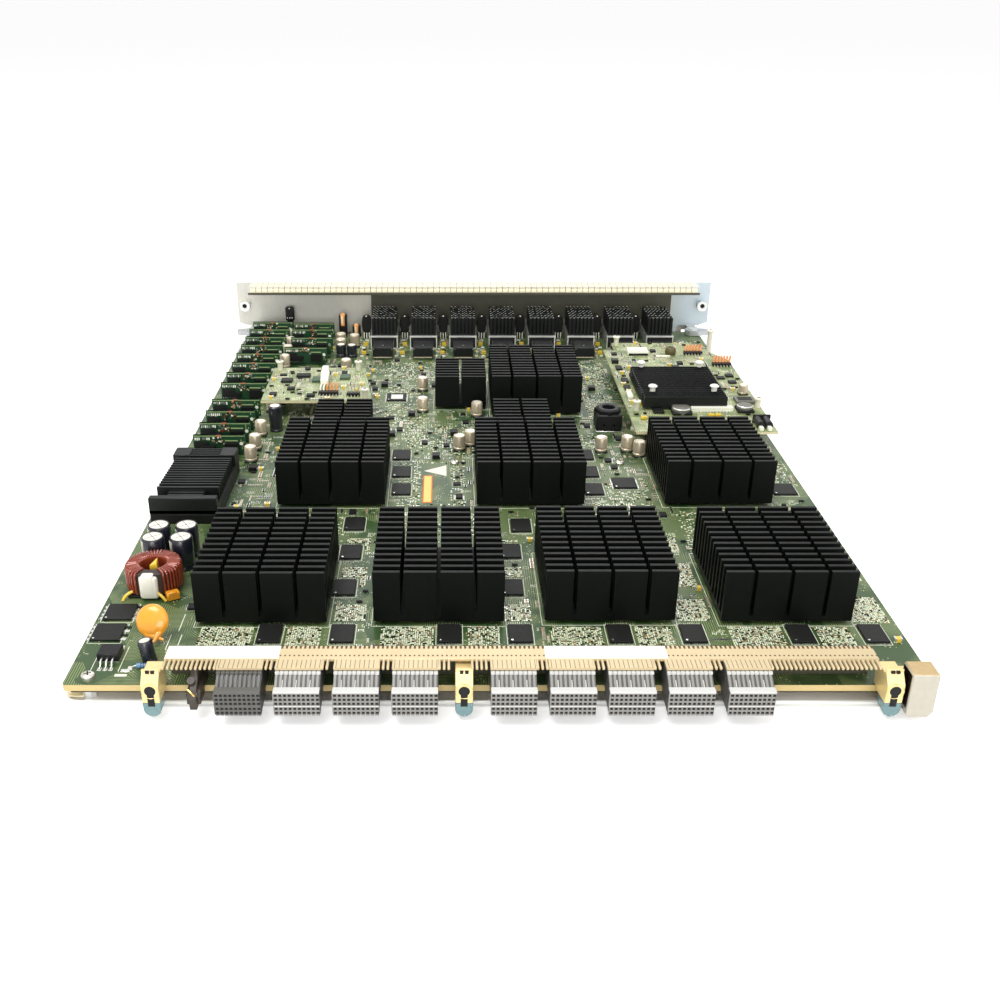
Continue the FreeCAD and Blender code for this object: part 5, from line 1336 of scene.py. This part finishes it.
def make_gasket():
    """The row of contact fingers folded over the panel's inner edge."""
    low, high = extent("contact_gasket")
    shape = Shape()
    fingers, slits = 78, []
    pitch = (high.x - low.x) / fingers
    for finger in range(fingers):
        left = low.x + finger * pitch
        right = left + pitch - (0.42 if finger < fingers - 1 else 0.0)
        profile = [(low.y + 0.5, low.z + 1.4), (low.y + 0.05, low.z + 2.0), (low.y, high.z - 2.2),
                   (low.y + 1.2, high.z - 0.3),
                   (low.y + 2.4, high.z), (high.y, high.z), (high.y, high.z - 0.42),
                   (low.y + 0.5, high.z - 0.45)]
        shape.prism(profile, spring_strip, "X", left, right - left)
        if finger < fingers - 1:
            slits.append(((right, low.y + 0.30, low.z + 2.2), (right + 0.42, low.y + 0.6, high.z - 1.2)))
            slits.append(((right, low.y + 0.9, high.z - 0.5), (right + 0.42, low.y + 4.0, high.z - 0.12)))
    shape.many(slits, notch_shade)
    shape.done("contact_fingers", "panel_metal", ["contact_gasket"])


# ------------------------------------------------------------------ mezzanine boards
def pin_header(shape, x, y, count, lean, high=7.0):
    """A black header with a row of bent pins; leaning ones carry coloured sleeves."""
    wide = count * 2.3
    shape.block((x, y, 0), (x + wide, y + 4.6, 2.4), moulding, 0.2)
    for number in range(count):
        at = x + 1.15 + number * 2.3
        if lean:
            shape.wires([[(at, y + 3.4, 2.2), (at + 0.2, y + 4.2, 3.6),
                          (at + 2.2, y + 9.5, 4.6)]],
                        0.85, header_orange, False)
            shape.wires([[(at + 1.9, y + 8.7, 4.5), (at + 2.9, y + 11.0, 4.9)]], 0.4, gold, False)
        else:
            shape.wires([[(at, y + 2.2, 2.2), (at, y + 2.2, high)]], 0.42, pale_pin, False)
        shape.wires([[(at, y + 0.2, 1.0), (at, y - 1.4, 0.8), (at, y - 2.4, 0.1)]], 0.3, pale_pin, False, 1)


def flat_inductor(shape, x, y, wide, deep, high):
    """A low square inductor with a round grey top and a bright ring."""
    shape.block((x, y, 0), (x + wide, y + deep, high * 0.5), package, 0.6)
    shape.lathe([(0, high), (0.42 * wide, high), (0.48 * wide, high - 0.5), (0.48 * wide, 0.4)],
                (x + wide / 2, y + deep / 2, 0), grey_body, UP, 20)
    shape.lathe([(0.43 * wide, high + 0.02), (0.47 * wide, high - 0.35), (0.485 * wide, high - 0.5)],
                (x + wide / 2, y + deep / 2, 0), tin, UP, 20)


def make_right_mezzanine():
    """What stands on the right mezzanine: sockets, headers, inductors, push pins and small parts."""
    level = extent("right_mezzanine")[1].z
    outline = [(99.5, 255), (188, 255), (188.4, 395), (167, 436), (108, 436), (108, 419), (99.5, 419)]
    sink_low, sink_high = extent("mezzanine_heat_sink")
    held = [(sink_low, sink_high)] + [box for box in solids("mezzanine_posts") if box[0].x > 0]
    over = [extent("middle_heat_sink_3")]
    crowd = Crowd(outline, 0.0, held + over)
    shape = Shape((0, 0, level))

    def reserve(x, y, wide, deep):
        crowd.used.update(crowd.cells(x - 0.6, y - 0.6, x + wide + 0.6, y + deep + 0.6))

    for x, y, wide, deep in ((115, 404, 16.5, 13), (144, 405, 9, 10), (158, 403, 16, 25), (174, 376, 15, 25),
                             (114, 284, 9, 11), (126, 281, 15, 14), (170.5, 286, 12, 13), (140, 288, 29, 8),
                             (179, 319, 8, 9), (173.5, 303, 14, 11), (176, 255, 13, 16)):
        reserve(x, y, wide, deep)
    shape.block((115.4, 405.0, 0), (131.0, 416.5, 3.4), silk, 0.3)
    # Painted shade: a near-black strip for the socket's opening.
    shape.block((115.9, 404.8, 0.4), (130.5, 405.1, 2.0), hole_shadow)
    shape.block((116.4, 406.4, 3.3), (130.0, 407.0, 3.5), grey_body)
    shape.lathe([(0, 4.6), (1.6, 4.6), (1.9, 5.6), (3.0, 5.6), (3.9, 4.6), (4.2, 2.0), (3.9, 0.4), (0, 0.4)],
                (148.4, 409.5, 0), dark_ochre, UP, 16)
    shape.block((136.0, 401.5, 0), (147.0, 403.8, 1.2), silk, 0.2)
    pin_header(shape, 158.6, 407.0, 6, True)
    pin_header(shape, 174.6, 380.5, 6, True)
    shape.block((114.8, 285.3, 0), (121.8, 295.0, 1.6), package, 0.2)
    flat_inductor(shape, 126.6, 281.8, 13.2, 12.4, 4.2)
    flat_inductor(shape, 170.8, 286.0, 11.2, 11.4, 4.2)
    shape.block((140.2, 289.0, 0), (168.4, 294.6, 3.0), silk, 0.35)
    shape.block((141.0, 294.4, 0), (167.6, 297.6, 1.6), grey_body, 0.3)
    for number in range(12):
        shape.block((141.4 + number * 2.2, 287.4, 0), (142.4 + number * 2.2, 289.1, 0.4), tin)
    shape.block((173.8, 303.8, 0.2), (187.0, 313.6, 2.0), grey_body, 0.25)
    shape.block((175.6, 305.2, 1.95), (185.2, 312.0, 2.05), package)
    x, y = 182.8, 323.2
    shape.block((x - 3.3, y - 3.3, 0), (x + 3.3, y + 3.3, 0.9), moulding, 0.4)
    shape.lathe([(0, 0.9), (3.1, 0.9), (3.2, 1.6), (2.8, 2.0), (3.2, 2.5), (3.2, 6.6), (2.9, 7.0), (0, 6.9)],
                (x, y, 0), can_side, UP, 22)
    shape.rod((x, y, 6.85), 2.8, 0.12, can_lid, UP, 22)
    for place in (178.6, 184.0):
        shape.rod((place, 258.6, 2.8), 2.5, 10.5, moulding, AHEAD, 18)
        shape.rod((place, 269.0, 2.8), 1.2, 0.6, tin, AHEAD, 14)
        shape.block((place - 1.4, 255.0, 0), (place + 1.4, 258.8, 2.6), silk, 0.4)
    shape.block((176.2, 269.4, 0), (187.6, 270.8, 5.6), package, 0.2)
    for x, y in ((102.0, 330.0), (102.4, 345.0), (102.0, 372.0)):
        shape.block((x, y, 0), (x + 4.6, y + 8.0, 1.4), package, 0.2)
        reserve(x, y, 4.6, 8.0)
    shape.block((101.6, 312.0, 0), (105.4, 324.0, 2.4), silk, 0.3)
    reserve(101.6, 312.0, 4, 12)
    for x, y in ((171.6, 352.0), (179.0, 357.0), (178.0, 343.0)):
        shape.block((x, y, 0), (x + 5.6, y + 5.0, 1.3), package, 0.2)
        reserve(x, y, 5.6, 5.0)
    for x, y in ((149.8, 279.2), (154.4, 279.6), (107.2, 301.0), (104.6, 275.0)):
        shape.block((x, y, 0), (x + 4.0, y + 2.8, 2.0), yellow_film, 0.3)
        reserve(x, y, 4, 2.8)
    sink = sink_high.z - sink_low.z
    for x in (116.4, 158.0):
        for y in (305.0, 354.0):
            shape.lathe([(0.0, 6.6), (2.2, 6.4), (3.1, 5.7), (3.0, 5.1), (1.9, 4.4), (1.7, -sink + 1.0),
                         (0, -sink + 1.0)],
                        (x, y, sink_high.z - level - 2.4), push_pin, UP, 20)
    fill(crowd, 5200, lambda x, y: 1.0, (98, 254, 190, 437))
    crowd.add_to(shape)
    shape.done("right_mezzanine_population", "mezzanine_board")


def make_left_mezzanine():
    """What stands on the left mezzanine: white plug, headers, packages and small parts."""
    level = extent("left_mezzanine")[1].z
    outline = [(-149, 310.5), (-76, 310.5), (-84, 377), (-149, 377)]
    held = [box for box in solids("mezzanine_posts") if box[0].x < 0]
    crowd = Crowd(outline, 0.0, held)
    shape = Shape((0, 0, level))
    for x, y, wide, deep in ((-113, 318, 16, 26), (-93, 316, 11, 7), (-142, 343, 10, 9), (-132, 354, 12, 9),
                             (-136, 328, 8, 6), (-120, 344, 10, 12), (-101, 350, 9, 12)):
        crowd.used.update(crowd.cells(x, y, x + wide, y + deep))
    shape.block((-111.6, 319.8, 0), (-98.0, 324.6, 2.6), moulding, 0.2)
    for number in range(6):
        at = -110.4 + number * 2.25
        skin = silk if number < 2 else header_orange
        shape.wires([[(at, 323.6, 2.4), (at, 324.6, 4.2), (at + 0.3, 331.5, 5.0)]], 0.62, skin, False)
        shape.wires([[(at, 320.0, 1.0), (at, 318.4, 0.8), (at, 317.4, 0.1)]], 0.3, pale_pin, False, 1)
    shape.prism([(-111.0, 330.5), (-105.6, 330.5), (-106.4, 352.0), (-112.6, 352.0)], silk, "Z", 4.0,
                3.4, 0.5)
    shape.block((-111.8, 351.0, 5.0), (-107.2, 356.0, 9.6), silk, 0.5)
    pin_header(shape, -92.0, 317.6, 4, False, 9.0)
    for x, y, wide, deep, skin in ((-141.0, 345.0, 8.0, 6.6, package), (-131.2, 356.0, 10.0, 6.0, package),
                                   (-134.6, 329.6, 5.2, 4.4, package), (-119.0, 346.0, 8.4, 9.0, laminate),
                                   (-99.4, 351.5, 7.0, 8.8, laminate), (-145.6, 318.0, 5.0, 5.0, package),
                                   (-119.4, 316.0, 5.4, 4.6, package)):
        shape.block((x, y, 0.15), (x + wide, y + deep, 1.7), skin, 0.2)
        crowd.legs(x + 0.5, y, int(wide / 1.1), 1.1, 1.3, -1, True)
        crowd.legs(x + 0.5, y + deep, int(wide / 1.1), 1.1, 1.3, 1, True)
        crowd.used.update(crowd.cells(x - 0.4, y - 1.5, x + wide + 0.4, y + deep + 1.5))
    shape.block((-149.4, 309.6, -1.3), (-75.0, 309.9, 0), bright_rim)
    fill(crowd, 3000, lambda x, y: 1.0, (-150, 310, -75, 378))
    crowd.add_to(shape)
    shape.done("left_mezzanine_population", "mezzanine_board")


def make_posts():
    """Threaded posts with a flared white head over each mezzanine corner."""
    shape = Shape()
    for low, high in solids("mezzanine_posts"):
        x, y = middle((low, high)).xy
        half, tall = (high.x - low.x) / 2, high.z
        shape.lathe([(0, low.z), (half, low.z), (half, low.z + 1.5), (half * 0.72, low.z + 2.0),
                     (half * 0.66, tall - 2.6),
                     (half * 0.8, tall - 1.8), (half, tall - 1.2), (half, tall - 0.5), (half * 0.6, tall),
                     (0, tall)],
                    (x, y, 0), nylon, UP, 20)
        shape.rod((x, y, tall - 0.25), half * 0.36, 0.25, steel, UP, 6)
    shape.done("posts_turned", "white_nylon", ["mezzanine_posts"])


def make_mezzanine_sink():
    """The low fin sink on the right mezzanine, with a painted highlight strip along each fin top."""
    low, high = extent("mezzanine_heat_sink")
    shape = Shape()
    shape.block((low.x, low.y, low.z), (high.x, high.y, low.z + 2.0), anodised, 0.15)
    rows = 15
    pitch = (high.y - low.y) / rows
    for row in range(rows):
        y = low.y + row * pitch
        shape.block((low.x + (0.0 if 1 < row < 13 else 0.4), y, low.z + 1.8),
                    (high.x, y + pitch * 0.52, high.z), anodised, 0.12)
        # Painted highlight: a light strip along each fin top.
        shape.block((low.x + 1.0, y + 0.2, high.z - 0.08), (high.x - 1.0, y + pitch * 0.40, high.z), tip_highlight)
    shape.done("mezzanine_sink_fins", "black_anodised", ["mezzanine_heat_sink"])


# ------------------------------------------------------------------ panel, tray edge, levers and screws
def make_tray_rim():
    """The folded rim of the tray along its connector edge, a black strip that paints the shadow in the gap
    above its floor, and a white strip that paints light onto the shaded floor.
    """
    low = extent("base_tray")[0]
    side, corner, level = 193.5, 9.0, low.z + 1.2
    bend, wire = corner - 1.1, 1.08
    turns = [math.pi + math.pi / 2 * step / 6 for step in range(7)]
    path = [(-side + 1.1, 62.0, level)]
    path += [(*around(-side + corner, low.y + corner, bend, turn), level) for turn in turns]
    turns = [1.5 * math.pi + math.pi / 2 * step / 6 for step in range(7)]
    path += [(*around(side - corner, low.y + corner, bend, turn), level) for turn in turns]
    path.append((side - 1.1, 62.0, level))
    shape = Shape()
    shape.wires([path], wire, rim_sheet, False, 3)
    shape.block((-183.0, low.y + 0.02, low.z + 0.1), (183.0, low.y + 1.6, low.z + 2.6), rim_sheet, 0.5)
    shape.block((-192.2, 3.0, low.z + 1.2), (-183.4, 9.0, low.z + 2.2), cream_rim, 0.4)
    # Painted shadow: a black strip under the board's edge stands in for the shade in the gap.
    shape.block((-188.0, 0.8, -4.5), (188.0, 3.0, -3.35), gap_shade, 0.2)
    # Painted light: a near-white strip on the floor under the board's edge stands in for light on the shaded
    # floor.
    shape.block((-183.0, 0.2, low.z + 1.1), (183.0, 20.0, low.z + 1.35), painted_floor_light, 0.1)
    shape.done("tray_rim", "tray_steel")


def make_panel_details():
    """The liner behind the ports, rings on the bosses, and the face with bezels, lenses and a bare label."""
    shape = Shape()
    shape.block((-86.5, 513.1, 5.5), (167.0, 514.05, 35.0), panel_shade)
    for side in (-1, 1):
        x = side * 193.0
        shape.lathe([(1.95, 0.0), (3.9, 0.0), (4.3, -0.4), (4.45, -0.4), (4.45, 0.5)], (x, 508.95, 23.0),
                    rim_sheet, AHEAD, 26)
    bezels, darks = [], []
    for number in range(PORTS):
        x = port_x(number)
        left, right, foot, top = x - 11.2, x + 11.2, -0.2, 11.2
        bezels += [((left, 515.8, top - 0.5), (right, 516.5, top + 0.4)),
                   ((left, 515.8, foot - 0.4), (right, 516.5, foot + 0.5)),
                   ((left, 515.8, foot), (left + 0.9, 516.5, top)),
                   ((right - 0.9, 515.8, foot), (right, 516.5, top))]
        for step in range(4):
            at = left + 3.6 + step * 4.4
            darks.append(((at, 516.0, top + 1.4), (at + 2.4, 516.1, top + 1.8)))
        shape.rod((x - 16, 515.2, 13.0), 1.5, 1.5, amber, AHEAD, 18, 1.2)
        shape.lathe([(1.6, 0.0), (2.3, 0.0), (2.3, 0.35), (1.6, 0.5)], (x - 16, 515.9, 13.0), rim_sheet,
                    AHEAD, 20)
        darks.append(((x - 19.5, 516.0, 19.0), (x + 11.5, 516.06, 19.25)))
    shape.many(bezels, cage_sheet)
    shape.many(darks, package)
    shape.block((-172.0, 515.9, 16.0), (-122.0, 516.12, 34.0), paper, 0.05)
    for x in (-178.0, -112.0, 172.0):
        shape.rod((x, 515.9, 30.0), 2.2, 0.5, steel, AHEAD, 20)
        # Painted shade: near-black strips for the screw's cross recess.
        shape.block((x - 1.6, 516.38, 29.8), (x + 1.6, 516.45, 30.2), hole_shadow)
        shape.block((x - 0.2, 516.38, 28.4), (x + 0.2, 516.45, 31.6), hole_shadow)
    shape.done("panel_fittings", "panel_metal")


def make_levers():
    """Grip pads, hub rings and a claw lining on each ejector lever."""
    for side, sign in (("left", -1), ("right", 1)):
        low, high = extent("ejector_lever_" + side)
        shape = Shape()
        hub = (sign * 186.0, 503.5)
        shape.lathe([(2.9, 0.0), (6.0, 0.0), (6.0, 0.35), (5.4, 0.5), (2.9, 0.5)], (hub[0], hub[1], 4.2),
                    lever_cast, UP, 30)
        inner, outer = sorted((sign * 127.0, sign * 172.0))
        shape.block((inner, high.y - 0.2, high.z - 9.4), (outer, high.y, high.z - 2.4), moulding, 0.09)
        for number in range(12):
            x = inner + 3.0 + number * 3.4
            shape.block((x, high.y - 0.3, high.z - 8.4), (x + 1.2, high.y, high.z - 3.4), dark_rib, 0.1)
        shape.block((inner + 1.0, low.y + 18.6, high.z - 0.1), (outer, high.y - 1.6, high.z), lever_cast,
                    0.04)
        shape.done("lever_grip_" + side, "lever_metal", body="lever_" + side)


def make_captive_screws():
    """Knurled knobs with a cross recess, and a dark socket in the tip of each captive screw."""
    for side in ("left", "right"):
        low, high = extent("captive_screw_" + side)
        radius = (high.x - low.x) / 2
        shape = Shape(((low.x + high.x) / 2, high.y, (low.z + high.z) / 2))
        shape.rod((0, -7.7, 0), radius - 0.35, 7.5, steel, AHEAD, 36)
        for number in range(36):
            across, up = around(0, 0, radius - 0.36, math.tau * number / 36)
            shape.rod((across, -6.9, up), 0.24, 5.6, steel, AHEAD, 6)
        shape.lathe([(0.0, 0.0), (radius - 1.0, 0.0), (radius - 0.5, -0.6), (radius - 0.5, -1.0)],
                    (0, -0.02, 0), steel, AHEAD, 36)
        # Painted shade: near-black strips and disc for the cross recess and the tip socket.
        shape.block((-2.6, -0.25, -0.45), (2.6, -0.005, 0.45), hole_shadow)
        shape.block((-0.45, -0.25, -2.6), (0.45, -0.005, 2.6), hole_shadow)
        shape.rod((0, low.y - high.y - 0.02, 0), radius * 0.36, 0.2, hole_shadow, AHEAD, 22)
        shape.done("captive_knob_" + side, "screw_steel", body="screw_" + side)


def make_screws():
    """Pan heads with a cross recess on the board, the corner one on its wide washer."""
    shape = Shape()
    for low, high in solids("board_screws"):
        x, y = middle((low, high)).xy
        half = (high.x - low.x) / 2
        wide, radius = half > 4.5, min(half, 3.0)
        rise = 0.8 if wide else 0.0
        if wide:
            shape.lathe([(2.0, 0.0), (half, 0.0), (half, 0.55), (half - 0.4, 0.8), (2.0, 0.8)], (x, y, 0),
                        steel, UP, 30)
        top = high.z
        shape.lathe([(0, rise), (radius, rise), (radius, top - 0.9), (radius * 0.82, top - 0.3),
                     (radius * 0.5, top), (0, top)],
                    (x, y, 0), steel, UP, 28)
        # Painted shade: near-black strips for the cross recess.
        for turn in (0.3, 0.3 + math.pi / 2):
            shape.block((x - radius * 0.55, y - 0.3, top - 0.12), (x + radius * 0.55, y + 0.3, top + 0.01),
                        hole_shadow, turn=(turn, "Z"))
    shape.done("screws_turned", "screw_steel", ["board_screws"])


# ------------------------------------------------------------------ what carries over from the solids
PLAIN = {
    "base_tray": zinc, "front_panel": panel_sheet, "main_board": main_mask, "right_mezzanine": pale_mask,
    "left_mezzanine": pale_mask, "contact_gasket": spring_strip, "connector_stiffener": comb_sheet,
    "end_block": grey_cast, "coding_key": brown_key, "board_screws": steel, "mezzanine_posts": nylon,
    "power_module": moulding, "power_transistor": moulding, "cased_choke": moulding,
    "filter_choke": enamel, "surge_disc": orange_dip, "bulk_capacitors": sleeve, "can_capacitors": can_side,
    "regulator_cards": card_mask, "chip_packages": package, "port_lamps": moulding,
    "power_connector": dark_wafer, "captive_screw_left": steel, "captive_screw_right": steel, }


def finish_of(node):
    """The finish of a solid that shows, or that stands under a piece of the scene."""
    if node in PLAIN:
        return PLAIN[node]
    for part, finish in (("small_heat_sink", short_fins), ("mezzanine_heat_sink", anodised),
                         ("port_heat_sink", anodised), ("power_heat_sink", anodised),
                         ("phy_heat_sink", anodised),
                         ("heat_sink", tall_fins), ("port_cage", cage_sheet), ("guide_block", yellow_cast),
                         ("lever", lever_cast)):
        if part in node:
            return finish
    return wafer_grey


def dress_solids():
    for name, thing in nodes.items():
        thing.data.materials.clear()
        thing.data.materials.append(finish_of(name).material)


def make_room():
    """A pale floor that stays white to the camera and keeps the object's shadow, and plain lamps."""
    bpy.ops.mesh.primitive_plane_add(size=30.0, location=(0, 0, cad_low.z - 0.0004))
    floor = bpy.context.object
    floor.name = "floor"
    ground = Finish("floor", (0.92, 0.92, 0.92, 1.0), 0.9)
    seen = ground.node("ShaderNodeLightPath", {}, {}, "Is Camera Ray")
    ground.feed("Emission Color", (1.0, 1.0, 1.0, 1.0))
    ground.feed("Emission Strength", seen * 0.42)
    floor.data.materials.append(ground.material)
    world = bpy.data.worlds.new("studio")
    bpy.context.scene.world = world
    world.use_nodes = True
    tree = world.node_tree
    back = tree.nodes["Background"]
    path = tree.nodes.new("ShaderNodeLightPath")
    seen = tree.nodes.new("ShaderNodeMath")
    seen.operation = "MAXIMUM"
    tree.links.new(path.outputs["Is Camera Ray"], seen.inputs[0])
    tree.links.new(path.outputs["Is Transmission Ray"], seen.inputs[1])
    shiny = tree.nodes.new("ShaderNodeMath")
    shiny.operation = "MAXIMUM"
    tree.links.new(seen.outputs[0], shiny.inputs[0])
    tree.links.new(path.outputs["Is Glossy Ray"], shiny.inputs[1])
    level = tree.nodes.new("ShaderNodeMapRange")
    level.inputs["To Min"].default_value = 0.55
    level.inputs["To Max"].default_value = 1.0
    tree.links.new(shiny.outputs[0], level.inputs["Value"])
    tree.links.new(level.outputs[0], back.inputs["Strength"])
    back.inputs["Color"].default_value = (1.0, 1.0, 1.0, 1.0)
    lamp("key", (-0.5, -0.5, 1.5), (0, 0, 0), 0.9, 18.0)
    lamp("fill", (0.9, -0.9, 0.9), (0, -0.1, 0), 1.2, 5.5)
    lamp("far", (0.1, 1.3, 1.1), (0, 0, 0), 1.0, 6.0)
    lamp("front", (0.0, -1.7, 0.3), (0, -0.2, 0), 0.9, 13.0)


bpy.context.scene.view_settings.view_transform = "Standard"
dress_solids()
make_room()
make_camera()
for make in (make_connectors, make_stiffener, make_guides, make_end_pieces, make_population, make_packages,
             make_stickers, make_regulator_cards, make_capacitors, make_toroid, make_surge_parts,
             make_transistor_package, make_power_brick, make_potted_choke, make_port_sinks, make_port_rears,
             make_phy_sinks, make_lamps, make_gasket, make_right_mezzanine, make_left_mezzanine, make_posts,
             make_mezzanine_sink, make_tray_rim, make_panel_details, make_levers, make_captive_screws,
             make_screws):
    make()
